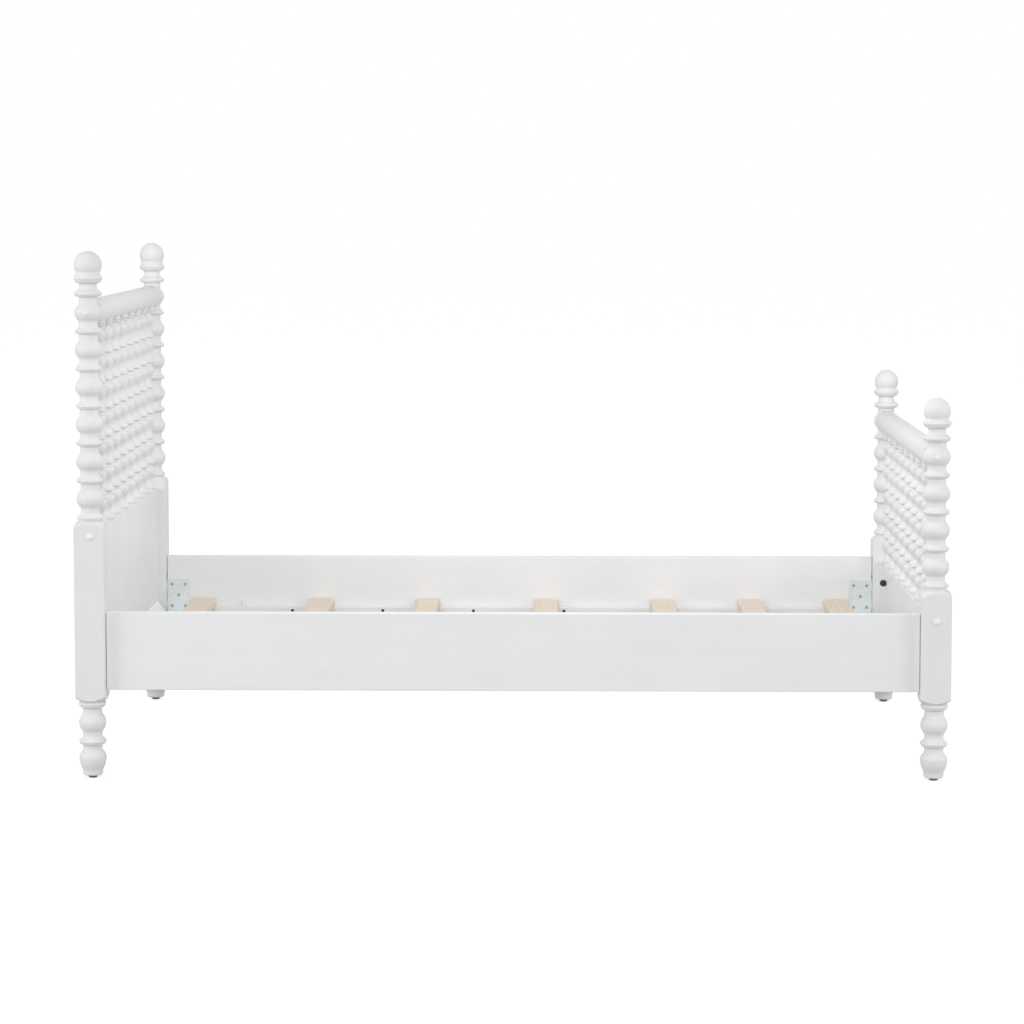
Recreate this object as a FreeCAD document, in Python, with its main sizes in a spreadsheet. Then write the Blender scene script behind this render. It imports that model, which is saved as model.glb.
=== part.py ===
"""Spindle bed: turned corner posts, spindle headboard and footboard, side rails and loose slats.

Frame: +X runs from the headboard to the footboard, +Y to the right-hand side as seen from the
foot, +Z up. The origin is on the floor under the middle of the bed. Lengths are in millimetres.
"""
import FreeCAD, Part
import math
import os
import re

import Sketcher

HEAD, FOOT = -1, 1
LEFT, RIGHT = -1, 1
END_NAMES = {HEAD: "head", FOOT: "foot"}
SIDE_NAMES = {LEFT: "left", RIGHT: "right"}

# Driving lengths, each written once.
SIZES = {
    # layout
    "post_span_length": 1975.0,      # post centre to post centre along the bed
    "post_span_width": 1036.0,       # post centre to post centre across the bed
    # square blocks of the posts
    "block_side": 70.0,
    "block_edge_round": 2.5,
    "leg_top": 183.0,                # floor to the underside of the blocks
    "head_block_top": 606.0,
    "foot_block_top": 447.8,
    "shoulder_dia": 62.0,            # where the cone at a block's end meets the round
    "shoulder_drop": 15.0,
    # turning above the blocks: rings with a bead between each two
    "head_turn_pitch": 87.3,
    "foot_turn_pitch": 86.1,
    "head_ring_rise": 9.2,           # block top to the lowest ring
    "foot_ring_rise": 12.1,
    "ring_dia": 62.5,
    "ring_rim": 7.0,
    "ring_rim_bulge": 2.4,
    "ring_cove": 10.0,
    "ring_under": 5.0,
    "ring_foot_dia": 54.0,           # post between its block and the lowest ring
    "neck_dia": 44.0,
    "bead_dia": 64.0,
    "bead_length": 48.0,
    # finial
    "last_ring_dia": 65.0,
    "finial_cove": 13.0,
    "finial_neck_dia": 40.5,
    "collar_dia": 67.2,              # ring under the ball
    "collar_rise": 35.2,
    "collar_under": 12.0,
    "ball_seat_drop": 16.5,          # ball centre down to where the ball meets the collar
    "head_ball_dia": 65.2,
    "head_ball_rise": 31.6,
    "foot_ball_dia": 62.6,
    "foot_ball_rise": 27.7,
    # turned legs under the blocks
    "pad_groove_dia": 56.0,
    "pad_ring_dia": 64.5,
    "pad_ring_drop": 7.0,
    "pad_ring_rim": 8.0,
    "pad_ring_under": 9.0,
    "leg_neck_dia": 45.5,
    "leg_bead_drop": 52.0,
    "leg_bead_length": 51.0,
    "leg_ring_drop": 95.7,
    "leg_ring_dia": 65.0,
    "leg_ring_under": 8.0,
    "foot_bead_drop": 134.7,
    "foot_bead_rise": 21.0,
    "foot_tip_dia": 47.0,
    "foot_tip": 7.0,                 # straight part at the end of the leg
    "foot_tip_edge": 2.5,
    # adjustable glides and their threaded inserts
    "glide_dia": 21.0,
    "glide_thickness": 7.0,
    "glide_edge": 1.5,
    "stem_dia": 8.0,
    "stem_length": 24.0,
    "stem_tip": 1.0,
    "stem_gap": 0.05,
    "stem_well": 12.0,               # free depth above the stem
    "insert_dia": 12.0,
    "insert_length": 20.0,
    "insert_flange_dia": 17.0,
    "insert_flange": 1.5,
    # top rails
    "rail_dia": 58.0,
    "head_rail_level": 1095.3,
    "foot_rail_level": 761.0,
    "rail_seat": 23.6,               # post's centre to the flat end of the rail
    "rail_tenon_dia": 30.0,
    "rail_tenon_length": 15.0,
    # panels
    "panel_thickness": 34.0,
    "panel_bottom": 210.0,
    "head_panel_top": 580.0,
    "foot_panel_top": 386.0,
    "panel_edge_round": 2.0,
    "tongue_thickness": 14.0,
    "tongue_length": 12.0,
    "tongue_top_inset": 30.0,
    "tongue_bottom_inset": 12.0,
    # spindles
    "spindle_shift": 4.0,            # spindles off the panel's middle, to the mattress
    "spindle_base_dia": 30.0,        # disc that stands on the panel
    "spindle_base": 5.0,
    "spindle_base_rise": 7.5,        # panel up to the lowest bell lip
    "spindle_bead_dia": 33.0,
    "spindle_lip_dia": 32.0,
    "spindle_neck_dia": 18.0,
    "spindle_lip": 2.0,
    "spindle_under": 2.5,
    "spindle_collet": 1.0,           # plain neck kept under each bell
    "spindle_bell": 18.5,            # bell lip up to the neck over it
    "spindle_vase_foot": 21.5,       # bell lip up to the foot of the vase
    "spindle_crest_drop": 19.0,      # vase's widest point down from the next bell lip
    "spindle_neck_drop": 5.5,        # top of the vase down from the next bell lip
    "spindle_groove_dia": 27.0,      # between the base and the lowest bell, and under the top disc
    "spindle_groove": 1.2,
    "spindle_ring": 4.5,             # ring under the groove at the top
    "spindle_ring_bulge": 1.5,
    "spindle_disc_dia": 33.0,
    "head_spindle_disc": 17.0,       # top ring's underside to the seat in the top rail
    "foot_spindle_disc": 22.0,
    "spindle_seat_sink": 9.0,        # spot-face depth in the underside of the top rail
    "spindle_tenon_dia": 16.0,
    "spindle_tenon_length": 13.0,
    "spot_gap": 0.5,
    # side rails
    "side_rail_thickness": 25.0,
    "side_rail_bottom": 209.7,
    "side_rail_height": 183.1,
    "side_rail_end_gap": 1.0,
    "side_rail_edge_round": 2.0,
    # slat cleats on the side rails
    "cleat_depth": 25.0,
    "cleat_top": 258.5,
    "cleat_height": 28.5,
    "cleat_end_gap": 66.0,           # side rail's end to the cleat's
    "cleat_edge_round": 1.5,
    "cleat_screw_end": 31.0,
    "cleat_screw_drop": 10.0,
    "cleat_screw_length": 37.0,
    # slats
    "slat_width": 63.0,
    "slat_thickness": 20.0,
    "slat_end_gap": 3.0,
    "slat_edge_round": 2.0,
    "slat_end_setback": 34.5,        # cleat's end to the middle of the outermost slat
    # bevelled batten on the head panel
    "batten_depth": 21.0,
    "batten_height": 48.0,
    "batten_bevel_drop": 28.0,
    "batten_end_gap": 28.0,
    "batten_top": 278.0,
    # hook plates on the side rails, keepers in the posts
    "plate_length": 62.0,
    "plate_height": 88.0,
    "plate_thickness": 3.0,
    "plate_level": 287.0,
    "plate_setback": 1.0,            # plate end to the post face
    "plate_screw_span": 35.0,
    "plate_screw_rise": 59.0,
    "hook_height": 14.0,
    "hook_spread": 50.0,             # between the two hooks of a plate
    "hook_reach": 5.0,
    "hook_catch": 6.0,
    "hook_play": 1.0,
    "keeper_width": 22.0,
    "keeper_height": 122.0,
    "keeper_thickness": 3.0,
    "keeper_slot_depth": 12.0,
    "keeper_screw_inset": 8.0,
    # wood screws
    "screw_dia": 4.2,
    "screw_head_dia": 8.6,
    "screw_head": 2.4,
    "screw_tip": 4.0,
    "screw_length": 20.0,
    "recess_width": 1.1,
    "recess_span": 5.0,
    "recess_depth": 1.2,
    # frame bolts, barrel nuts and caps
    "bolt_dia": 8.0,
    "bolt_head_dia": 14.0,
    "bolt_head": 5.5,
    "bolt_head_gap": 1.0,
    "bolt_socket_dia": 6.0,
    "bolt_socket": 3.5,
    "bolt_sink": 13.0,               # cap seat down to the bolt head's seat
    "bolt_grip": 95.0,               # bolt head's seat to the barrel nut's axis
    "bolt_tail": 9.0,
    "bolt_gap": 0.3,
    "nut_dia": 14.0,
    "nut_length": 20.0,
    "cap_dia": 18.5,
    "cap_dome": 4.5,
    "cap_plug_dia": 15.4,
    "cap_plug": 5.0,
    "cap_seat_sink": 2.0,            # spot-face depth on the round of a bead
    "head_bolt_level": 572.8,
    "foot_bolt_level": 377.5,
    "head_bolt_shift": 4.5,          # head bolts off the panel's middle, to the mattress
    # buffers on the foot panel, pegs in the cleats
    "buffer_dia": 18.0,
    "buffer_foot_dia": 9.0,          # flat where the ball meets the panel
    "buffer_stem_dia": 7.0,
    "buffer_stem_length": 12.0,
    "buffer_level": 347.0,
    "buffer_setback": 151.0,         # panel's end to the buffer
    "peg_dia": 10.0,
    "peg_length": 34.0,
    "peg_proud": 15.0,
    "peg_dome": 2.0,
    "peg_setback": 206.0,            # side rail's head end to the peg
    # clearances
    "hole_gap": 0.1,
    "joint_gap": 0.2,
}

# How many there are of each piece or turning that repeats.
COUNTS = {
    "head_turn_count": 6,
    "foot_turn_count": 4,
    "head_spindle_count": 8,
    "foot_spindle_count": 8,
    "head_spindle_beads": 7,
    "foot_spindle_beads": 5,
    "cleat_screw_pairs": 4,
}

# Shares of another size, without a unit.
SHARES = {
    "swell_share": 0.3,              # share of a swelling taken by its hollow part
    "cove_share": 0.8,
    "under_share": 0.45,
    "spindle_bell_share": 0.35,
    "spindle_vase_share": 0.4,
    "shoulder_reach": 0.75,          # radius that the cone is cut from, to the block's side
}

# The slats lie loose and unevenly spaced, each at a share of the way from the first to the last.
SLAT_SHARES = [0.0, 0.1884, 0.356, 0.5439, 0.7272, 0.8648, 1.0]
for number, share in enumerate(SLAT_SHARES, 1):
    SHARES[f"slat_share_{number}"] = share

# Sizes worked out from the driving ones.
DERIVED = {
    "half_length": "post_span_length / 2",
    "half_width": "post_span_width / 2",
    "block_half": "block_side / 2",
    "block_inside": "half_length - block_half",
    "rail_shoulder": "half_width - rail_seat",
    "side_rail_half": "block_inside - side_rail_end_gap",
    "side_rail_inside": "half_width - side_rail_thickness / 2",
    "cleat_inside": "side_rail_inside - cleat_depth",
    "cleat_half": "side_rail_half - cleat_end_gap",
    "cleat_screw_pitch": "2 * (cleat_half - cleat_screw_end) / (2 * cleat_screw_pairs - 1)",
    "first_slat": "slat_end_setback - cleat_half",
    "slat_run": "0 - 2 * first_slat",
    "slat_half": "side_rail_inside - slat_end_gap",
    "batten_half": "cleat_inside - batten_end_gap",
    "hook_plane": "side_rail_inside - plate_thickness / 2",
    "plate_end": "block_inside - plate_setback",
    "panel_inside": "half_length - panel_thickness / 2",
    "panel_half": "half_width - block_half",
    "buffer_offset": "panel_half - buffer_setback",
    "peg_place": "peg_setback - side_rail_half",
    "block_cap_seat": "half_width + block_half",
    "bead_cap_seat": "half_width + bead_dia / 2 - cap_seat_sink",
    "head_spindle_seat": "head_rail_level - rail_dia / 2 + spindle_seat_sink",
    "foot_spindle_seat": "foot_rail_level - rail_dia / 2 + spindle_seat_sink",
    "head_spindle_stack": "head_spindle_seat - head_spindle_disc - head_panel_top - spindle_base_rise",
    "foot_spindle_stack": "foot_spindle_seat - foot_spindle_disc - foot_panel_top - spindle_base_rise",
    "head_spindle_pitch": "head_spindle_stack / head_spindle_beads",
    "foot_spindle_pitch": "foot_spindle_stack / foot_spindle_beads",
    "head_spindle_space": "post_span_width / (head_spindle_count + 1)",
    "foot_spindle_space": "post_span_width / (foot_spindle_count + 1)",
    "leg_tip": "glide_thickness",
}

# How far a cutter starts before the face it opens, and how deep a joined part roots in its piece.
PAST = "1"
ROOT = "4"

document = FreeCAD.newDocument("SpindleBed")
nodes = {}


def vector(x, y, z=0.0):
    return FreeCAD.Vector(x, y, z)


def build_sheet():
    """Writes the driving sizes as plain numbers and the derived ones as formulas."""
    sheet = document.addObject("Spreadsheet::Sheet", "Sizes")
    rows = [(name, str(value)) for name, value in (SIZES | COUNTS | SHARES).items()]
    rows += [(name, "=" + formula) for name, formula in DERIVED.items()]
    for row, (name, content) in enumerate(rows, 1):
        sheet.set(f"A{row}", name)
        sheet.set(f"B{row}", content)
        sheet.setAlias(f"B{row}", name)
    document.recompute()
    return sheet


sheet = build_sheet()


def named(expression):
    """Prefixes every size in an expression with the name of the sheet."""
    known = SIZES.keys() | COUNTS.keys() | SHARES.keys() | DERIVED.keys()
    return re.sub(r"[a-z]\w*", lambda word: "Sizes." * (word[0] in known) + word[0], expression)


def value(expression):
    return float(sheet.evalExpression(named(expression)))


def bind(item, **expressions):
    """Binds properties of an object to expressions; x, y and z stand for its place."""
    for name, expression in expressions.items():
        path = f"Placement.Base.{name}" if name in ("x", "y", "z") else name
        item.setExpression(path, named(expression))


# ---------------------------------------------------------------- sketches

def arc_edge(start, end, radius, turn):
    """An arc shorter than a half circle; turn is +1 where its centre lies left of the way."""
    chord = end - start
    height = math.sqrt(max(radius ** 2 - (chord.Length / 2) ** 2, 0.0))
    left = vector(-chord.y, chord.x) / chord.Length
    centre = (start + end) / 2 + left * (height * turn)
    angles = [math.atan2(point.y - centre.y, point.x - centre.x) for point in (start, end)]
    circle = Part.Circle(centre, vector(0, 0, 1), radius)
    if turn > 0:
        return Part.ArcOfCircle(circle, angles[0], angles[1]), (1, 2)
    return Part.ArcOfCircle(circle, angles[1], angles[0]), (2, 1)


def expand(corners):
    """Turns corners and their links into points, each with the radius and turn of its edge.

    A link is None for a straight edge, ("arc", radius, turn) for an arc, ("bulge", rise) for a
    shallow arc that stands out by rise, or ("swell", share) for two arcs from crest to neck or
    neck to crest, of which the hollow one takes share.
    """
    points = []
    for index, (x, y, link) in enumerate(corners):
        next_x, next_y, _ = corners[(index + 1) % len(corners)]
        kind = link[0] if link else None
        run_x, run_y = f"( {next_x} - ( {x} ) )", f"( {next_y} - ( {y} ) )"
        if kind == "swell":
            rising = value(next_x) > value(x)
            first = link[1] if rising else f"( 1 - {link[1]} )"
            second = f"( 1 - {link[1]} )" if rising else link[1]
            whole = f"( {run_x} * {run_x} + {run_y} * {run_y} ) / ( 2 * abs({run_x}) )"
            points.append((x, y, f"{whole} * {first}", -1 if rising else 1))
            middle_x = f"{x} + {run_x} * {first}"
            middle_y = f"{y} + {run_y} * {first}"
            points.append((middle_x, middle_y, f"{whole} * {second}", 1 if rising else -1))
        elif kind == "bulge":
            radius = f"( {run_y} * {run_y} / 4 + {link[1]} * {link[1]} ) / ( 2 * {link[1]} )"
            points.append((x, y, radius, 1))
        elif kind == "arc":
            points.append((x, y, link[1], link[2]))
        else:
            points.append((x, y, None, 0))
    return points


def draw(body, role, name, corners):
    """Draws a closed outline on an origin plane of the body, bound to the sheet."""
    sketch = body.newObject("Sketcher::SketchObject", name)
    plane = [item for item in body.Origin.OriginFeatures if item.Role == role][0]
    sketch.AttachmentSupport = [(plane, "")]
    sketch.MapMode = "FlatFace"
    points = expand(corners)
    places = [vector(value(x), value(y)) for x, y, _, _ in points]
    edges, ends, constraints, bindings = [], [], [], []
    for index, (_, _, radius, turn) in enumerate(points):
        start, end = places[index], places[(index + 1) % len(points)]
        if radius is None:
            edges.append(Part.LineSegment(start, end))
            ends.append((1, 2))
        else:
            edge, edge_ends = arc_edge(start, end, value(radius), turn)
            edges.append(edge)
            ends.append(edge_ends)
    for index, (x, y, radius, _) in enumerate(points):
        after = (index + 1) % len(points)
        constraints.append(Sketcher.Constraint("Coincident", index, ends[index][1], after, ends[after][0]))
        for kind, axis, expression in (("DistanceX", -2, x), ("DistanceY", -1, y)):
            if expression == "0":
                constraints.append(Sketcher.Constraint("PointOnObject", index, ends[index][0], axis))
            else:
                bindings.append((len(constraints), expression))
                constraints.append(
                    Sketcher.Constraint(kind, -1, 1, index, ends[index][0], value(expression)))
        if radius is not None:
            bindings.append((len(constraints), radius))
            constraints.append(Sketcher.Constraint("Radius", index, value(radius)))
    sketch.addGeometry(edges, False)
    sketch.addConstraint(constraints)
    for index, expression in bindings:
        sketch.setExpression(f"Constraints[{index}]", named(expression))
    return sketch


def spin(body, name, corners, kind="Revolution"):
    """Turns an outline in the XZ plane about the body's Z axis."""
    sketch = draw(body, "XZ_Plane", name + "_outline", corners)
    feature = body.newObject(f"PartDesign::{kind}", name)
    feature.Profile = (sketch, [])
    feature.ReferenceAxis = (sketch, ["V_Axis"])
    feature.Angle = 360
    return feature


def new_body(name):
    return document.addObject("PartDesign::Body", name)


def turned(name, corners):
    """A body turned in one piece from an outline that starts and ends on its axis."""
    body = new_body(name)
    spin(body, name + "_turning", corners)
    return body


def rectangle(width, depth):
    half_x, half_y = f"{width} / 2", f"{depth} / 2"
    return [(f"0 - {half_x}", f"0 - {half_y}", None), (half_x, f"0 - {half_y}", None),
            (half_x, half_y, None), (f"0 - {half_x}", half_y, None)]


def board(name, length, width, height, edge_round):
    """A board centred over its own origin, with all its edges eased."""
    body = new_body(name)
    sketch = draw(body, "XY_Plane", name + "_outline", rectangle(length, width))
    pad = body.newObject("PartDesign::Pad", name + "_pad")
    pad.Profile = (sketch, [])
    bind(pad, Length=height)
    document.recompute()
    ease = body.newObject("PartDesign::Fillet", name + "_ease")
    ease.Base = (pad, [])
    ease.UseAllEdges = True
    bind(ease, Radius=edge_round)
    body.Tip = ease
    return body


# ---------------------------------------------------------------- tools and joints between pieces

TURNS = {
    "+Z": FreeCAD.Rotation(vector(0, 0, 1), 0),
    "-Z": FreeCAD.Rotation(vector(1, 0, 0), 180),
    "+Y": FreeCAD.Rotation(vector(1, 0, 0), -90),
    "-Y": FreeCAD.Rotation(vector(1, 0, 0), 90),
    "+X": FreeCAD.Rotation(vector(0, 1, 0), 90),
    "-X": FreeCAD.Rotation(vector(0, 1, 0), -90),
}


def facing(axis, sign):
    return ("+" if sign > 0 else "-") + axis


def link(name, source, place, way="+Z"):
    """A copy of a shape at a place, with its own +Z turned to the given way."""
    copy = document.addObject("App::Link", name)
    copy.LinkedObject = source
    copy.Placement = FreeCAD.Placement(vector(0, 0, 0), TURNS[way])
    bind(copy, x=place[0], y=place[1], z=place[2])
    return copy


def brick(name, centre, size):
    """A box given by its centre and size."""
    box = document.addObject("Part::Box", name)
    bind(box, Length=size[0], Width=size[1], Height=size[2])
    bind(box, x=f"{centre[0]} - ( {size[0]} ) / 2", y=f"{centre[1]} - ( {size[1]} ) / 2",
         z=f"{centre[2]} - ( {size[2]} ) / 2")
    return box


def rod(name, base, way, diameter, length):
    """A cylinder that starts at base and runs along the given way."""
    cylinder = document.addObject("Part::Cylinder", name)
    cylinder.Placement = FreeCAD.Placement(vector(0, 0, 0), TURNS[way])
    bind(cylinder, Radius=f"( {diameter} ) / 2", Height=length, x=base[0], y=base[1], z=base[2])
    return cylinder


def fuse(name, shapes):
    item = document.addObject("Part::MultiFuse", name)
    item.Shapes = shapes
    item.Refine = False
    return item


def cut(name, base, tools):
    item = document.addObject("Part::Cut", name)
    item.Base = base
    item.Tool = tools[0] if len(tools) == 1 else fuse(name + "_tools", tools)
    item.Refine = False
    return item


def group(name, copies):
    item = document.addObject("Part::Compound", name)
    item.Links = copies
    return item


def keep(name, item):
    """Names a finished piece; the name is its file's name too."""
    item.Label = name
    nodes[name] = item
    return item


# ---------------------------------------------------------------- posts

def ring_corners(level, diameter, rim, under, neck):
    """From the neck under a ring, round its rim, to the top of the rim."""
    edge = f"( {diameter} / 2 - ring_rim_bulge )"
    return [(f"{neck} / 2", f"{level} - {rim} / 2 - {under}", ("swell", "under_share")),
            (edge, f"{level} - {rim} / 2", ("bulge", "ring_rim_bulge")),
            (edge, f"{level} + {rim} / 2", ("swell", "cove_share"))]


def post_unit(name):
    """One ring, the bead over it and the neck on top, repeated up the post."""
    base, pitch = f"{name}_block_top", f"{name}_turn_pitch"
    ring = f"( {base} + {name}_ring_rise )"
    bead = f"( {ring} + {pitch} / 2 )"
    neck = "neck_dia / 2"
    corners = [("0", base, None), (neck, base, None)]
    corners += ring_corners(ring, "ring_dia", "ring_rim", "ring_under", "neck_dia")
    corners += [(neck, f"{ring} + ring_rim / 2 + ring_cove", None),
                (neck, f"{bead} - bead_length / 2", ("swell", "swell_share")),
                ("bead_dia / 2", bead, ("swell", "swell_share")),
                (neck, f"{bead} + bead_length / 2", None),
                (neck, f"{base} + {pitch}", None),
                ("0", f"{base} + {pitch}", None)]
    return corners


def ring_foot(name):
    """The plain turning between a block and its lowest ring."""
    base, top = f"{name}_block_top", f"( {name}_block_top + {name}_ring_rise - ring_rim / 2 )"
    return [("0", base, None), ("ring_foot_dia / 2", base, None), ("ring_foot_dia / 2", top, None),
            ("0", top, None)]


def finial(name):
    """The last ring, the neck, the collar and the ball, from the top of the last unit."""
    base = f"( {name}_block_top + {name}_turn_pitch * {name}_turn_count )"
    ring = f"( {base} + {name}_ring_rise )"
    collar = f"( {ring} + collar_rise )"
    ball = f"( {collar} + {name}_ball_rise )"
    radius = f"( {name}_ball_dia / 2 )"
    seat = f"sqrt({radius} * {radius} - ball_seat_drop * ball_seat_drop)"
    corners = [("0", base, None), ("neck_dia / 2", base, None)]
    corners += ring_corners(ring, "last_ring_dia", "ring_rim", "ring_under", "neck_dia")
    corners += [("finial_neck_dia / 2", f"{ring} + ring_rim / 2 + finial_cove", None)]
    corners += ring_corners(collar, "collar_dia", "ring_rim", "collar_under", "finial_neck_dia")
    corners += [(seat, f"{ball} - ball_seat_drop", ("arc", radius, 1)), ("0", f"{ball} + {radius}", None)]
    return corners


def leg_corners():
    """The turned leg from the glide up to the block."""
    pad, bead = "( leg_top - pad_ring_drop )", "( leg_top - leg_bead_drop )"
    ring, foot = "( leg_top - leg_ring_drop )", "( leg_top - foot_bead_drop )"
    neck, tip, groove = "leg_neck_dia / 2", "foot_tip_dia / 2", "pad_groove_dia / 2"
    corners = [("0", "leg_tip", None), (f"{tip} - foot_tip_edge", "leg_tip", None),
               (tip, "leg_tip + foot_tip_edge", None),
               (tip, "leg_tip + foot_tip", ("swell", "swell_share")),
               ("bead_dia / 2", foot, ("swell", "swell_share")),
               (neck, f"{foot} + foot_bead_rise", None)]
    corners += ring_corners(ring, "leg_ring_dia", "ring_rim", "leg_ring_under", "leg_neck_dia")
    corners += [(neck, f"{ring} + ring_rim / 2 + ring_cove", None),
                (neck, f"{bead} - leg_bead_length / 2", ("swell", "swell_share")),
                ("bead_dia / 2", bead, ("swell", "swell_share")),
                (neck, f"{bead} + leg_bead_length / 2", None)]
    corners += ring_corners(pad, "pad_ring_dia", "pad_ring_rim", "pad_ring_under", "leg_neck_dia")[:2]
    corners += [("pad_ring_dia / 2 - ring_rim_bulge", f"{pad} + pad_ring_rim / 2", None),
                (groove, f"{pad} + pad_ring_rim / 2", None), (groove, "leg_top", None),
                ("0", "leg_top", None)]
    return corners


def shoulder_corners(level, way):
    """The waste around the cone at the end of a block; way points out of the block."""
    outer, inner = "block_side * shoulder_reach", "shoulder_dia / 2"
    beyond = f"{level} + {way} * {PAST}"
    return [(outer, f"{level} - {way} * shoulder_drop", None), (inner, level, None),
            (inner, beyond, None), (outer, beyond, None)]


def post_turning(end):
    """A whole post before its joints are cut, standing on its own origin."""
    name = END_NAMES[end]
    block_top = f"{name}_block_top"
    body = new_body(f"{name}_turning")
    square = draw(body, "XY_Plane", f"{name}_square", rectangle("block_side", "block_side"))
    square.setExpression("AttachmentOffset.Base.z", named("leg_top"))
    block = body.newObject("PartDesign::Pad", f"{name}_block")
    block.Profile = (square, [])
    bind(block, Length=f"{block_top} - leg_top")
    document.recompute()
    upright = [f"Edge{number}" for number, edge in enumerate(block.Shape.Edges, 1)
               if abs(edge.tangentAt(edge.FirstParameter).z) > 0.99]
    ease = body.newObject("PartDesign::Fillet", f"{name}_block_ease")
    ease.Base = (block, upright)
    bind(ease, Radius="block_edge_round")
    document.recompute()
    spin(body, f"{name}_upper_shoulder", shoulder_corners(block_top, 1), "Groove")
    spin(body, f"{name}_lower_shoulder", shoulder_corners("leg_top", -1), "Groove")
    spin(body, f"{name}_leg", leg_corners())
    unit = spin(body, f"{name}_unit", post_unit(name))
    document.recompute()
    stack = body.newObject("PartDesign::LinearPattern", f"{name}_stack")
    stack.Originals = [unit]
    stack.Direction = ([item for item in body.Origin.OriginFeatures if item.Role == "Z_Axis"][0], [""])
    bind(stack, Length=f"{name}_turn_pitch * ( {name}_turn_count - 1 )", Occurrences=f"{name}_turn_count")
    body.Tip = stack
    document.recompute()
    spin(body, f"{name}_finial", finial(name))
    spin(body, f"{name}_ring_foot", ring_foot(name))
    document.recompute()
    return body


def post(end, side, turning, voids):
    """One corner post: the turning with every joint cut into it."""
    name = f"{END_NAMES[end]}_post_{SIDE_NAMES[side]}"
    centre = (f"{end} * half_length", f"{side} * half_width", "0")
    blank = link(name + "_blank", turning, centre)
    return keep(name, cut(name, blank, voids))


# ---------------------------------------------------------------- fasteners

def screw(name, length):
    """A countersunk cross-recess wood screw, head face at the origin, pointing down."""
    head, shank = "screw_head_dia / 2", "screw_dia / 2"
    body = turned(name + "_blank", [
        ("0", f"0 - {length}", None), (shank, f"0 - {length} + screw_tip", None),
        (shank, "0 - screw_head", None), (head, "0", None), ("0", "0", None)])
    slots = [brick(f"{name}_slot_{way}", ("0", "0", "0"), size) for way, size in (
        ("x", ("recess_span", "recess_width", "recess_depth * 2")),
        ("y", ("recess_width", "recess_span", "recess_depth * 2")))]
    return cut(name, body, slots)


def screw_void(name, length):
    """The countersunk hole for a screw, reaching past its head face."""
    head, shank = "screw_head_dia / 2", "( screw_dia / 2 + hole_gap )"
    return turned(name, [
        ("0", f"0 - {length} - hole_gap", None), (shank, f"0 - {length} - hole_gap", None),
        (shank, f"0 - screw_head + hole_gap", None), (head, "0", None),
        (head, PAST, None), ("0", PAST, None)])


def bolt():
    """A socket-head bolt, its head's seat at the origin, its shank pointing down."""
    head, shank = "bolt_head_dia / 2", "bolt_dia / 2"
    socket = "bolt_socket_dia / 2"
    floor = "bolt_head - bolt_socket"
    return turned("frame_bolt", [
        ("0", "0 - bolt_grip - bolt_tail", None), (shank, "0 - bolt_grip - bolt_tail", None),
        (shank, "0", None), (head, "0", None), (head, "bolt_head", None),
        (socket, "bolt_head", None), (socket, floor, None), ("0", floor, None)])


def bolt_void():
    """The bolt's hole, the counterbore over its head and the spot-face under its cap."""
    hole, bore = "( bolt_dia / 2 + bolt_gap )", "( bolt_head_dia / 2 + bolt_head_gap )"
    face = "( cap_dia / 2 + 2 * hole_gap )"
    far, out = f"0 - bolt_grip - bolt_tail - {PAST}", f"bolt_sink + cap_seat_sink + {PAST}"
    return turned("bolt_void", [
        ("0", far, None), (hole, far, None), (hole, "0", None), (bore, "0", None),
        (bore, "bolt_sink", None), (face, "bolt_sink", None), (face, out, None), ("0", out, None)])


def cap():
    """A domed cap: a plug for the counterbore under a shallow dome, rim at the origin."""
    rim, plug = "cap_dia / 2", "cap_plug_dia / 2"
    radius = "( cap_dia * cap_dia / 4 + cap_dome * cap_dome ) / ( 2 * cap_dome )"
    return turned("cap", [
        ("0", "0 - cap_plug", None), (plug, "0 - cap_plug", None), (plug, "0", None),
        (rim, "0", ("arc", radius, 1)), ("0", "cap_dome", None)])


def barrel_nut():
    """A barrel nut lying on its own axis, bored across for the bolt."""
    barrel = rod("nut_barrel", ("0", "0", "0 - nut_length / 2"), "+Z", "nut_dia", "nut_length")
    across = rod("nut_thread", ("0", "0 - nut_dia", "0"), "+Y", "bolt_dia + 2 * hole_gap", "nut_dia * 2")
    return cut("barrel_nut", barrel, [across])


def bolt_places():
    """Every frame bolt: its end, side, shift, level, cap seat and the way to its nut's hole."""
    places = []
    for end in (HEAD, FOOT):
        name = END_NAMES[end]
        for side in (LEFT, RIGHT):
            shift = "head_bolt_shift" if end == HEAD else "0"
            places.append((end, side, shift, f"{name}_bolt_level", "block_cap_seat", "X"))
            places.append((end, side, "0", f"{name}_rail_level", "bead_cap_seat", "Z"))
    return places


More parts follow.
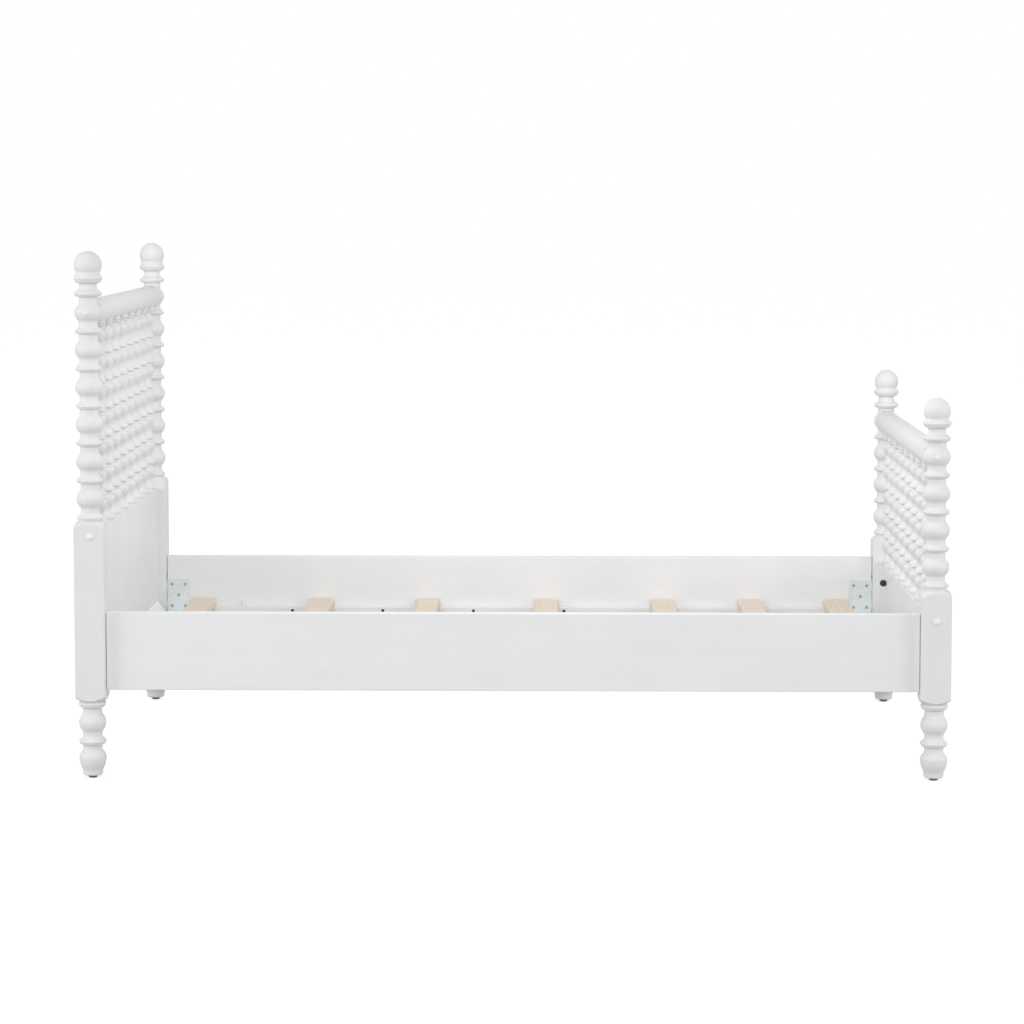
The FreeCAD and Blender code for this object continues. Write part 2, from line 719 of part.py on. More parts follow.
def fit_bolts():
    """Sets the bolts, nuts and caps; returns the voids that they need, by post and by board."""
    solids = {"bolts": [], "nuts": [], "caps": []}
    voids = {}
    bolt_shape, void_shape, cap_shape, nut_shape = bolt(), bolt_void(), cap(), barrel_nut()
    for count, (end, side, shift, level, seat, nut_way) in enumerate(bolt_places(), 1):
        along = f"{end} * half_length + {shift}"
        head_seat = (along, f"{side} * ( {seat} - bolt_sink )", level)
        nut_centre = (along, f"{side} * ( {seat} - bolt_sink - bolt_grip )", level)
        out = facing("Y", side)
        solids["bolts"].append(link(f"bolt_{count}", bolt_shape, head_seat, out))
        solids["caps"].append(link(f"cap_{count}", cap_shape, (along, f"{side} * {seat}", level), out))
        nut_turn = "+X" if nut_way == "X" else "+Z"
        solids["nuts"].append(link(f"nut_{count}", nut_shape, nut_centre, nut_turn))
        void = link(f"bolt_void_{count}", void_shape, head_seat, out)
        # The headboard's nuts go in from the wall side, the footboard's from the mattress side.
        if nut_way == "X":
            start = (f"{along} + nut_length / 2 + hole_gap", nut_centre[1], level)
            well = rod(f"nut_well_{count}", start, "-X", "nut_dia + 2 * hole_gap", "panel_thickness")
            board_name = f"{END_NAMES[end]}_panel"
        else:
            start = (along, nut_centre[1], f"{level} + nut_length / 2 + hole_gap")
            well = rod(f"nut_well_{count}", start, "-Z", "nut_dia + 2 * hole_gap", "rail_dia")
            board_name = f"{END_NAMES[end]}_top_rail"
        voids.setdefault((end, side), []).append(void)
        voids.setdefault(board_name, []).extend([void, well])
    keep("frame_bolts", group("frame_bolts", solids["bolts"]))
    keep("barrel_nuts", group("barrel_nuts", solids["nuts"]))
    keep("bolt_caps", group("bolt_caps", solids["caps"]))
    return voids


# ---------------------------------------------------------------- spindles

def spindle_unit(level, pitch, lower):
    """One bell and the vase over it; lower ends where the underside of the bell's lip starts."""
    neck, lip, bead = "spindle_neck_dia / 2", "spindle_lip_dia / 2", "spindle_bead_dia / 2"
    end = f"{level} + {pitch} - spindle_under - spindle_collet"
    return lower + [
        (lip, level, None), (lip, f"{level} + spindle_lip", ("swell", "spindle_bell_share")),
        (neck, f"{level} + spindle_bell", None),
        (neck, f"{level} + spindle_vase_foot", ("swell", "spindle_vase_share")),
        (bead, f"{level} + {pitch} - spindle_crest_drop", ("swell", "swell_share")),
        (neck, f"{level} + {pitch} - spindle_neck_drop", None), (neck, end, None), ("0", end, None)]


def spindle_shape(end):
    """A spindle standing on its own origin: tenon, base disc, bells and vases, top disc and tenon."""
    name = END_NAMES[end]
    pitch, first = f"{name}_spindle_pitch", "spindle_base_rise"
    neck, tenon = "spindle_neck_dia / 2", "spindle_tenon_dia / 2"
    disc, base = "spindle_disc_dia / 2", "spindle_base_dia / 2"
    top = f"( {first} + {name}_spindle_stack )"
    body = new_body(f"{name}_spindle")
    foot = [("0", "0 - spindle_tenon_length", None), (tenon, "0 - spindle_tenon_length", None),
            (tenon, "0", None), (base, "0", None), (base, "spindle_base", None),
            ("spindle_groove_dia / 2", f"{first} - spindle_under", None)]
    spin(body, f"{name}_spindle_base", spindle_unit(first, pitch, foot))
    second = f"( {first} + {pitch} )"
    join = f"{second} - spindle_under - spindle_collet"
    under = [("0", join, None), (neck, join, None), (neck, f"{second} - spindle_under", None)]
    unit = spin(body, f"{name}_spindle_unit", spindle_unit(second, pitch, under))
    document.recompute()
    stack = body.newObject("PartDesign::LinearPattern", f"{name}_spindle_stack")
    stack.Originals = [unit]
    stack.Direction = ([item for item in body.Origin.OriginFeatures if item.Role == "Z_Axis"][0], [""])
    bind(stack, Length=f"{pitch} * ( {name}_spindle_beads - 2 )",
         Occurrences=f"{name}_spindle_beads - 1")
    body.Tip = stack
    document.recompute()
    low = f"{top} - spindle_under - spindle_collet"
    seat = f"{top} + {name}_spindle_disc"
    groove, ring = "spindle_groove_dia / 2", f"{top} + spindle_ring"
    edge = f"( {disc} - spindle_ring_bulge )"
    spin(body, f"{name}_spindle_top", [
        ("0", low, None), (neck, low, None), (neck, f"{top} - spindle_under", None),
        (edge, top, ("bulge", "spindle_ring_bulge")), (edge, ring, None), (groove, ring, None),
        (groove, f"{ring} + spindle_groove", None), (disc, f"{ring} + spindle_groove", None),
        (disc, seat, None), (tenon, seat, None), (tenon, f"{seat} + spindle_tenon_length", None),
        ("0", f"{seat} + spindle_tenon_length", None)])
    document.recompute()
    return body


def spindle_void():
    """The hole for a tenon and the spot-face for a disc, seat at the origin, pointing up."""
    hole, face = "( spindle_tenon_dia / 2 + hole_gap )", "( spindle_disc_dia / 2 + spot_gap )"
    depth, out = "spindle_tenon_length + spot_gap", f"0 - spindle_seat_sink - {PAST}"
    return turned("spindle_void", [
        ("0", out, None), (face, out, None), (face, "0", None), (hole, "0", None),
        (hole, depth, None), ("0", depth, None)])


def fit_spindles():
    """Stands the spindles between panel and top rail; returns the voids by board."""
    voids = {}
    socket = spindle_void()
    for end in (HEAD, FOOT):
        name = END_NAMES[end]
        shape = spindle_shape(end)
        count = round(value(f"{name}_spindle_count"))
        for number in range(1, count + 1):
            along = f"{end} * ( half_length - spindle_shift )"
            across = f"{number} * {name}_spindle_space - half_width"
            piece = link(f"{name}_spindle_{number}", shape, (along, across, f"{name}_panel_top"))
            keep(f"{name}_spindle_{number}", piece)
            upper = link(f"{name}_socket_{number}", socket, (along, across, f"{name}_spindle_seat"))
            lower = rod(f"{name}_mortise_{number}", (along, across, f"{name}_panel_top + {PAST}"), "-Z",
                        "spindle_tenon_dia + 2 * hole_gap", f"spindle_tenon_length + spot_gap + {PAST}")
            voids.setdefault(f"{name}_top_rail", []).append(upper)
            voids.setdefault(f"{name}_panel", []).append(lower)
    return voids


# ---------------------------------------------------------------- headboard and footboard

def top_rail(end, voids):
    """A round rail let into both posts on shouldered tenons."""
    name = f"{END_NAMES[end]}_top_rail"
    round_, tenon = "rail_dia / 2", "rail_tenon_dia / 2"
    tip = "( rail_shoulder + rail_tenon_length )"
    body = turned(name + "_blank", [
        ("0", f"0 - {tip}", None), (tenon, f"0 - {tip}", None), (tenon, "0 - rail_shoulder", None),
        (round_, "0 - rail_shoulder", None), (round_, "rail_shoulder", None),
        (tenon, "rail_shoulder", None), (tenon, tip, None), ("0", tip, None)])
    placed = link(name + "_placed", body, (f"{end} * half_length", "0", f"{END_NAMES[end]}_rail_level"), "+Y")
    return keep(name, cut(name, placed, voids))


def rail_void(end, side):
    """The housing and mortise for one end of a top rail."""
    name = f"{END_NAMES[end]}_rail_void_{SIDE_NAMES[side]}"
    level = f"{END_NAMES[end]}_rail_level"
    along = f"{end} * half_length"
    way = facing("Y", side)
    housing = rod(name + "_housing", (along, f"{side} * ( rail_shoulder - block_side )", level), way,
                  "rail_dia + 2 * joint_gap", "block_side")
    mortise = rod(name + "_mortise", (along, f"{side} * ( rail_shoulder - {PAST} )", level), way,
                  "rail_tenon_dia + 2 * joint_gap", f"rail_tenon_length + {PAST} + joint_gap")
    return [housing, mortise]


def tongue(end, side, gap):
    """A panel's tongue, or its mortise where gap is a clearance."""
    name = END_NAMES[end]
    top, bottom = f"( {name}_panel_top - tongue_top_inset )", "( panel_bottom + tongue_bottom_inset )"
    kind = "mortise" if gap != "0" else "tongue"
    return brick(
        f"{name}_{kind}_{SIDE_NAMES[side]}",
        (f"{end} * half_length", f"{side} * ( panel_half + ( tongue_length + {gap} - {ROOT} ) / 2 )",
         f"( {top} + {bottom} ) / 2"),
        (f"tongue_thickness + 2 * {gap}", f"tongue_length + {gap} + {ROOT}",
         f"{top} - {bottom} + 2 * {gap}"))


def panel(end, voids):
    """A solid panel with a tongue at each end."""
    name = f"{END_NAMES[end]}_panel"
    body = board(name + "_board", "panel_thickness", "2 * panel_half",
                 f"{END_NAMES[end]}_panel_top - panel_bottom", "panel_edge_round")
    placed = link(name + "_placed", body, (f"{end} * half_length", "0", "panel_bottom"))
    whole = fuse(name + "_whole", [placed, tongue(end, LEFT, "0"), tongue(end, RIGHT, "0")])
    return keep(name, cut(name, whole, voids))


def batten():
    """A bevelled batten along the inside of the head panel."""
    body = new_body("batten_body")
    bottom = "( batten_top - batten_height )"
    back = "0 - panel_inside"
    front = "batten_depth - panel_inside"
    sketch = draw(body, "XZ_Plane", "batten_outline", [
        (back, bottom, None), (front, bottom, None),
        (front, "batten_top - batten_bevel_drop", None), (back, "batten_top", None)])
    pad = body.newObject("PartDesign::Pad", "batten_pad")
    pad.Profile = (sketch, [])
    pad.Midplane = True
    bind(pad, Length="2 * batten_half")
    return keep("head_batten", body)


def buffer():
    """A rubber ball on a stem, the flat where it meets the panel at the origin."""
    radius, stem, flat = "( buffer_dia / 2 )", "buffer_stem_dia / 2", "( buffer_foot_dia / 2 )"
    middle = f"sqrt({radius} * {radius} - {flat} * {flat})"
    body = turned("buffer", [
        ("0", "0 - buffer_stem_length", None), (stem, "0 - buffer_stem_length", None), (stem, "0", None),
        (flat, "0", ("arc", radius, 1)), ("0", f"{middle} + {radius}", None)])
    copies, voids = [], []
    for side in (LEFT, RIGHT):
        place = ("panel_inside", f"{side} * buffer_offset", "buffer_level")
        copies.append(link(f"buffer_{SIDE_NAMES[side]}", body, place, "-X"))
        start = (f"panel_inside - {PAST}", place[1], place[2])
        voids.append(rod(f"buffer_hole_{SIDE_NAMES[side]}", start, "+X", "buffer_stem_dia + 2 * hole_gap",
                         f"buffer_stem_length + hole_gap + {PAST}"))
    keep("panel_buffers", group("panel_buffers", copies))
    return voids


# ---------------------------------------------------------------- side rails and their fittings

def plate_outline():
    """A hook plate drawn from its free end (x) up (y): a plate with two hooks at the post end."""
    half = "plate_height / 2"
    behind = "( plate_length + plate_setback + keeper_thickness )"
    tip = f"( {behind} + hook_reach )"
    corners = [("0", f"0 - {half}", None), ("plate_length", f"0 - {half}", None)]
    for sign in ("-", "+"):
        low = f"( 0 {sign} hook_spread / 2 - hook_height / 2 )"
        high = f"( {low} + hook_height )"
        corners += [("plate_length", low, None), (behind, low, None),
                    (behind, f"{low} - hook_catch", None), (tip, f"{low} - hook_catch", None),
                    (tip, high, None), ("plate_length", high, None)]
    return corners + [("plate_length", half, None), ("0", half, None)]


def hook_plate(end, side, voids):
    """One hook plate, screwed on the inside of a side rail and hooked into the post."""
    name = f"hook_plate_{END_NAMES[end]}_{SIDE_NAMES[side]}"
    body = new_body(name + "_body")
    outline = [(f"{end} * ( {x} )" if x != "0" else "0", y, edge) for x, y, edge in plate_outline()]
    sketch = draw(body, "XZ_Plane", name + "_outline", outline)
    pad = body.newObject("PartDesign::Pad", name + "_pad")
    pad.Profile = (sketch, [])
    pad.Midplane = True
    bind(pad, Length="plate_thickness")
    place = (f"{end} * ( plate_end - plate_length )", f"{side} * hook_plane", "plate_level")
    return keep(name, cut(name, link(name + "_placed", body, place), voids))


def keeper_parts(end, side):
    """The slots, the recess and the plate of one keeper, as bricks."""
    name = f"keeper_{END_NAMES[end]}_{SIDE_NAMES[side]}"
    across = f"{side} * hook_plane"
    middle = f"{end} * ( block_inside + keeper_thickness / 2 )"
    size = ("keeper_thickness", "keeper_width", "keeper_height")
    plate = brick(name + "_plate", (middle, across, "plate_level"), size)
    recess = brick(name + "_recess", (middle, across, "plate_level"),
                   ("keeper_thickness", "keeper_width + 2 * hole_gap", "keeper_height + 2 * hole_gap"))
    slots, wells = [], []
    for number, sign in enumerate(("-", "+"), 1):
        low = f"( plate_level {sign} hook_spread / 2 - hook_height / 2 )"
        high = f"( {low} + hook_height + hook_catch + hook_play )"
        slots.append(brick(f"{name}_slot_{number}", (middle, across, f"( {low} + {high} ) / 2"),
                           ("2 * keeper_thickness", "plate_thickness + hook_play", f"{high} - {low}")))
        well_low = f"( {low} - hook_catch - hook_play )"
        wells.append(brick(
            f"{name}_well_{number}",
            (f"{end} * ( block_inside + keeper_slot_depth / 2 )", across, f"( {well_low} + {high} ) / 2"),
            ("keeper_slot_depth", "plate_thickness + 2 * hook_play", f"{high} - {well_low}")))
    return plate, recess, slots, wells


def plate_screw_places(end, side):
    """Four corners and the middle of a hook plate, on the plate's open face."""
    along = f"{end} * ( plate_end - plate_length / 2 )"
    across = f"{side} * ( side_rail_inside - plate_thickness )"
    places = [(along, across, "plate_level")]
    for x_sign in ("-", "+"):
        for z_sign in ("-", "+"):
            places.append((f"{along} {x_sign} plate_screw_span / 2", across,
                           f"plate_level {z_sign} plate_screw_rise / 2"))
    return places


def fit_screws(name, places, way, shapes):
    """Copies a screw and its hole to each place."""
    solid, void = shapes
    screws = [link(f"{name}_{count}", solid, place, way) for count, place in enumerate(places, 1)]
    holes = [link(f"{name}_hole_{count}", void, place, way) for count, place in enumerate(places, 1)]
    return screws, holes


def fit_corner(end, side, shapes):
    """One corner's hook plate, keeper and screws; returns the voids in post and rail."""
    corner = f"{END_NAMES[end]}_{SIDE_NAMES[side]}"
    plate_screws, plate_holes = fit_screws(
        f"plate_screw_{corner}", plate_screw_places(end, side), facing("Y", -side), shapes)
    hook_plate(end, side, plate_holes)
    plate, recess, slots, wells = keeper_parts(end, side)
    across = f"{side} * hook_plane"
    places = [(f"{end} * block_inside", across,
               f"plate_level {sign} ( keeper_height / 2 - keeper_screw_inset )") for sign in ("-", "+")]
    keeper_screws, keeper_holes = fit_screws(f"keeper_screw_{corner}", places, facing("X", -end), shapes)
    keep(f"keeper_{corner}", cut(f"keeper_{corner}", plate, slots + keeper_holes))
    return plate_screws, keeper_screws, plate_holes, [recess] + wells + keeper_holes


def cleat_screw_places(side):
    places = []
    for number in range(round(value("cleat_screw_pairs"))):
        for sign in ("-", "+"):
            places.append((f"0 {sign} ( {number} + 1 / 2 ) * cleat_screw_pitch", f"{side} * cleat_inside",
                           "cleat_top - cleat_screw_drop"))
    return places


def cleat(side, voids):
    """The strip on the inside of a side rail that carries the slats."""
    name = f"slat_cleat_{SIDE_NAMES[side]}"
    body = board(name + "_board", "2 * cleat_half", "cleat_depth", "cleat_height",
                 "cleat_edge_round")
    place = ("0", f"{side} * ( side_rail_inside - cleat_depth / 2 )", "cleat_top - cleat_height")
    return keep(name, cut(name, link(name + "_placed", body, place), voids))


def side_rail(side, voids):
    name = f"side_rail_{SIDE_NAMES[side]}"
    body = board(name + "_board", "2 * side_rail_half", "side_rail_thickness", "side_rail_height",
                 "side_rail_edge_round")
    place = ("0", f"{side} * half_width", "side_rail_bottom")
    return keep(name, cut(name, link(name + "_placed", body, place), voids))


def fit_pegs():
    """A short peg in each cleat between the first two slats; returns the holes by side."""
    radius = "peg_dia / 2"
    shape = turned("peg", [
        ("0", "0", None), (radius, "0", None), (radius, "peg_length - peg_dome", None),
        (f"{radius} - peg_dome", "peg_length", None), ("0", "peg_length", None)])
    copies, holes = [], {}
    for side in (LEFT, RIGHT):
        place = ("peg_place", f"{side} * ( side_rail_inside - cleat_depth / 2 )",
                 "cleat_top + peg_proud - peg_length")
        copies.append(link(f"peg_{SIDE_NAMES[side]}", shape, place))
        holes[side] = rod(f"peg_hole_{SIDE_NAMES[side]}", place, "+Z", "peg_dia + 2 * hole_gap",
                          "peg_length")
    keep("cleat_pegs", group("cleat_pegs", copies))
    return holes


def fit_slats():
    body = board("slat", "slat_width", "2 * slat_half", "slat_thickness", "slat_edge_round")
    for number in range(1, len(SLAT_SHARES) + 1):
        place = (f"first_slat + slat_run * slat_share_{number}", "0", "cleat_top")
        keep(f"slat_{number}", link(f"slat_{number}", body, place))


# ---------------------------------------------------------------- glides

def glide_shape():
    """A round glide with its threaded stem, standing on the floor at the origin."""
    rim, stem = "glide_dia / 2", "stem_dia / 2"
    top = "( leg_tip + stem_length )"
    return turned("glide", [
        ("0", "0", None), (f"{rim} - glide_edge", "0", None), (rim, "glide_edge", None),
        (rim, "glide_thickness - glide_edge", None), (f"{rim} - glide_edge", "glide_thickness", None),
        (stem, "glide_thickness", None), (stem, f"{top} - stem_tip", None),
        (f"{stem} - stem_tip", top, None), ("0", top, None)])


def insert_shape():
    """The threaded insert in a post's foot, its flange flush with the foot's end."""
    bore, wall, flange = "( stem_dia / 2 + stem_gap )", "insert_dia / 2", "insert_flange_dia / 2"
    return turned("insert", [
        (bore, "leg_tip", None), (flange, "leg_tip", None), (flange, "leg_tip + insert_flange", None),
        (wall, "leg_tip + insert_flange", None), (wall, "leg_tip + insert_length", None),
        (bore, "leg_tip + insert_length", None)])


def insert_void():
    wall, flange = "( insert_dia / 2 + hole_gap )", "( insert_flange_dia / 2 + hole_gap )"
    top, out = "leg_tip + insert_length + stem_well", f"leg_tip - {PAST}"
    return turned("insert_void", [
        ("0", out, None), (flange, out, None), (flange, "leg_tip + insert_flange", None),
        (wall, "leg_tip + insert_flange", None), (wall, top, None), ("0", top, None)])


def fit_glides():
    """A glide and an insert under each post; returns the hole in each post."""
    shape, insert, void = glide_shape(), insert_shape(), insert_void()
    inserts, voids = [], {}
    for end in (HEAD, FOOT):
        for side in (LEFT, RIGHT):
            corner = f"{END_NAMES[end]}_{SIDE_NAMES[side]}"
            place = (f"{end} * half_length", f"{side} * half_width", "0")
            keep(f"glide_{corner}", link(f"glide_{corner}", shape, place))
            inserts.append(link(f"insert_{corner}", insert, place))
            voids[end, side] = link(f"insert_void_{corner}", void, place)
    keep("glide_inserts", group("glide_inserts", inserts))
    return voids


# ---------------------------------------------------------------- the whole bed

def build():
    bolt_voids = fit_bolts()
    spindle_voids = fit_spindles()
    glide_voids = fit_glides()
    buffer_voids = buffer()
    peg_holes = fit_pegs()
    short = (screw("plate_screw", "screw_length"), screw_void("plate_screw_void", "screw_length"))
    long = (screw("cleat_screw", "cleat_screw_length"),
            screw_void("cleat_screw_void", "cleat_screw_length"))
    plate_screws, keeper_screws, rail_voids = [], [], {LEFT: [], RIGHT: []}
    for end in (HEAD, FOOT):
        turning = post_turning(end)
        for side in (LEFT, RIGHT):
            more_plate, more_keeper, plate_holes, post_voids = fit_corner(end, side, short)
            plate_screws += more_plate
            keeper_screws += more_keeper
            rail_voids[side] += plate_holes
            voids = post_voids + rail_void(end, side) + bolt_voids[end, side]
            voids += [tongue(end, side, "joint_gap"), glide_voids[end, side]]
            post(end, side, turning, voids)
        name = END_NAMES[end]
        top_rail(end, bolt_voids[f"{name}_top_rail"] + spindle_voids[f"{name}_top_rail"])
        more = buffer_voids if end == FOOT else []
        panel(end, bolt_voids[f"{name}_panel"] + spindle_voids[f"{name}_panel"] + more)
    keep("hook_plate_screws", group("hook_plate_screws", plate_screws))
    keep("keeper_screws", group("keeper_screws", keeper_screws))
    for side in (LEFT, RIGHT):
        screws, holes = fit_screws(f"cleat_screw_{SIDE_NAMES[side]}", cleat_screw_places(side),
                                   facing("Y", -side), long)
        keep(f"cleat_screws_{SIDE_NAMES[side]}", group(f"cleat_screws_{SIDE_NAMES[side]}", screws))
        cleat(side, holes + [peg_holes[side]])
        side_rail(side, holes + rail_voids[side])
    batten()
    fit_slats()


def check():
    """Stops if any object failed or any piece is not a valid solid."""
    document.recompute()
    for item in document.Objects:
        if any(word in ("Invalid", "Error") for word in item.State):
            raise RuntimeError(f"{item.Name} failed: {item.State}")
    for name, item in nodes.items():
        shape = Part.getShape(item)
        if shape.isNull() or not shape.isValid() or not shape.Solids:
            raise RuntimeError(f"{name} has no valid solid")


def export():
    os.makedirs("parts", exist_ok=True)
    for name, item in nodes.items():
        Part.getShape(item).exportStep(f"parts/{name}.step")
        print(name, len(Part.getShape(item).Solids), "solid(s)")


build()
check()
export()
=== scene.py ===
"""Looks of a white spindle bed: satin paint over turned posts and spindles, bare pine slats.

Everything is in metres in the bed's own frame: +X from the headboard to the footboard, +Y to the
right as seen from the foot, +Z up, origin on the floor under the middle of the bed.
"""
from __future__ import annotations

import logging
import math
from dataclasses import dataclass, field
from enum import Enum

import bmesh
import bpy
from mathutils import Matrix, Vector


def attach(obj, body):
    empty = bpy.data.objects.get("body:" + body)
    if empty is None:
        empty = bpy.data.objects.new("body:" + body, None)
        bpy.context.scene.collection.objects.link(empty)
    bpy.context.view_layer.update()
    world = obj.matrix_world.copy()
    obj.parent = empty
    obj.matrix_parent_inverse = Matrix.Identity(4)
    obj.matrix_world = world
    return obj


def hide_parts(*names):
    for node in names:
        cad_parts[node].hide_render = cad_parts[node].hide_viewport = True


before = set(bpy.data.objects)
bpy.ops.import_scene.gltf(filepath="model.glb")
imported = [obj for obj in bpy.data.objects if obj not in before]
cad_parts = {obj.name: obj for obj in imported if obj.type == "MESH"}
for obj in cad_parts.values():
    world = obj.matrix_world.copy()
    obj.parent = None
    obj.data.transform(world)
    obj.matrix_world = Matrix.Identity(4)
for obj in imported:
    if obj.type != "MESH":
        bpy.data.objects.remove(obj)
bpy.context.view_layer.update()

log = logging.getLogger("spindle_bed")

Colour = tuple[float, float, float, float]
Point = tuple[float, float]
Place = tuple[float, float, float]

# Scale per metre, detail and roughness of a noise.
Pattern = tuple[float, ...]

# A flat step of a turned outline climbs by this much, so that its path always goes upward.
STEP = 0.00001
# Corners sharper than this are eased, if both edges are this many times as long as the cut.
SHARP_CORNER = math.radians(155.0)
ROOM_TO_EASE = 2.2
# Share of the old corner in the point between the two cuts.
CORNER_KEPT = 0.6
# Steps round the eased edge of a sawn board.
EDGE_STEPS = 4


class Grain(Enum):
    """The way the wood's grain runs in a piece, as a unit vector."""

    LENGTH = (1.0, 0.0, 0.0)
    WIDTH = (0.0, 1.0, 0.0)
    UPRIGHT = (0.0, 0.0, 1.0)


class End(Enum):
    """The two ends of the bed, with the sign of their place along it."""

    HEAD = -1
    FOOT = 1


class Side(Enum):
    """The two sides of the bed, with the sign of their place across it."""

    LEFT = -1
    RIGHT = 1


# ---------------------------------------------------------------- wiring


@dataclass
class Wiring:
    """Shorthand for placing and joining nodes in one tree."""

    tree: bpy.types.NodeTree

    def node(self, kind: str, **settings: object) -> bpy.types.Node:
        """Places a node and sets its properties."""
        made = self.tree.nodes.new(kind)
        for name, value in settings.items():
            setattr(made, name, value)
        return made

    def join(self, source: bpy.types.NodeSocket, target: bpy.types.NodeSocket) -> None:
        """Joins an output to an input."""
        self.tree.links.new(source, target)

    def feed(self, target: bpy.types.NodeSocket, value: object) -> None:
        """Sets an input from another node's output or from a plain value."""
        if isinstance(value, bpy.types.NodeSocket):
            self.join(value, target)
        else:
            target.default_value = value

    def place(self, kind: str, feeds: dict[str, object], **settings: object) -> bpy.types.Node:
        """Places a node and feeds its inputs by name.

        Args:
            kind: The node's type.
            feeds: A socket or a plain value by the name of the input in use.
            settings: The node's properties.

        Returns:
            The node.
        """
        made = self.node(kind, **settings)
        for label, value in feeds.items():
            target = next(s for s in made.inputs if s.name == label and s.enabled)
            self.feed(target, value)
        return made

    def maths(self, operation: str, *terms: object, clamp: bool = False) -> bpy.types.NodeSocket:
        """A Math node on sockets or numbers; returns its result's socket."""
        made = self.node("ShaderNodeMath", operation=operation, use_clamp=clamp)
        for index, term in enumerate(terms):
            self.feed(made.inputs[index], term)
        return made.outputs[0]

    def weighted(self, *pairs: tuple[bpy.types.NodeSocket, float]) -> bpy.types.NodeSocket:
        """The sum of some values, each times its own weight."""
        total: object = 0.0
        for value, weight in pairs:
            total = self.maths("MULTIPLY_ADD", value, weight, total)
        return total

    def remap(self, value: object, low: float, high: float, to_low: float = 0.0,
              to_high: float = 1.0) -> bpy.types.NodeSocket:
        """Stretches a value from one range to another, clamped, and returns its socket."""
        made = self.node("ShaderNodeMapRange")
        for index, item in enumerate((value, low, high, to_low, to_high)):
            self.feed(made.inputs[index], item)
        return made.outputs[0]

    def blend_colours(self, factor: object, first: object, second: object) -> bpy.types.NodeSocket:
        """Mixes two colours by a factor and returns the result's socket."""
        made = self.node("ShaderNodeMix", data_type="RGBA")
        self.feed(made.inputs["Factor"], factor)
        self.feed(made.inputs[6], first)
        self.feed(made.inputs[7], second)
        return made.outputs[2]

    def noise(self, place: bpy.types.NodeSocket, scale: float, detail: float = 3.0,
              roughness: float = 0.5) -> bpy.types.NodeSocket:
        """A noise texture's factor at a place in space."""
        made = self.place("ShaderNodeTexNoise", {"Vector": place, "Scale": scale, "Detail": detail,
                                                 "Roughness": roughness})
        return made.outputs[0]

    def stretched(self, place: bpy.types.NodeSocket, scale: Place) -> bpy.types.NodeSocket:
        """Scales a place along each axis, for patterns longer one way than the other."""
        return self.place("ShaderNodeMapping", {"Vector": place, "Scale": scale}).outputs["Vector"]

    def apart(self, place: bpy.types.NodeSocket) -> tuple[bpy.types.NodeSocket, ...]:
        """The three numbers of a vector."""
        return tuple(self.place("ShaderNodeSeparateXYZ", {"Vector": place}).outputs)

    def together(self, x: object = 0.0, y: object = 0.0, z: object = 0.0) -> bpy.types.NodeSocket:
        """A vector from three numbers."""
        return self.place("ShaderNodeCombineXYZ", {"X": x, "Y": y, "Z": z}).outputs[0]


def new_group(name: str, inputs: dict[str, str], outputs: dict[str, str],
              kind: str = "ShaderNodeTree") -> tuple[Wiring, bpy.types.Node, bpy.types.Node]:
    """Makes an empty node group with named sockets.

    Args:
        name: The group's name.
        inputs: Socket type by input name.
        outputs: Socket type by output name.
        kind: The tree's type, for shaders or for geometry.

    Returns:
        The tree's wiring, its input node and its output node.
    """
    tree = bpy.data.node_groups.new(name, kind)
    for label, socket in inputs.items():
        tree.interface.new_socket(name=label, in_out="INPUT", socket_type="NodeSocket" + socket)
    for label, socket in outputs.items():
        tree.interface.new_socket(name=label, in_out="OUTPUT", socket_type="NodeSocket" + socket)
    wire = Wiring(tree)
    return wire, wire.node("NodeGroupInput"), wire.node("NodeGroupOutput")


# ---------------------------------------------------------------- shader groups


@dataclass(frozen=True)
class FilmPattern:
    """Patterns of a paint film, and how much each adds to its relief."""

    lines: Pattern = (150.0, 4.0, 0.6)
    pores: Pattern = (520.0, 2.0)
    peel: Pattern = (320.0, 2.0)
    mottle: Pattern = (5.0, 4.0, 0.55)
    streaks: Pattern = (34.0, 3.0, 0.6)
    pore_edge: Point = (0.33, 0.42)
    line_relief: float = 0.55
    pore_relief: float = -0.22
    peel_relief: float = 0.3


@dataclass(frozen=True)
class PinePattern:
    """Growth rings, fibres and knots of a pine board, in metres or per metre."""

    knot_spread: Place = (7.0, 4.2, 0.0)
    knot_edge: Point = (0.022, 0.034)
    swerve_reach: float = 0.16
    swerve: float = 0.011
    wander_spread: Place = (9.0, 1.3, 9.0)
    wander: float = 0.024
    ring_width: float = 0.0038
    late_edge: Point = (0.45, 0.97)
    late_power: float = 1.6
    fibre_spread: Place = (1.0, 0.02, 1.0)
    fibres: Pattern = (900.0, 3.0, 0.6)
    late_relief: float = 0.35
    fibre_relief: float = 0.5
    knot_relief: float = 0.4


@dataclass(frozen=True)
class SkinPattern:
    """Crystals, stains and grit of a metal skin."""

    crystals: float = 420.0
    grit: Pattern = (1400.0, 2.0)
    stain: Pattern = (46.0, 4.0, 0.6)
    crystal_relief: float = 0.4
    grit_relief: float = 0.5


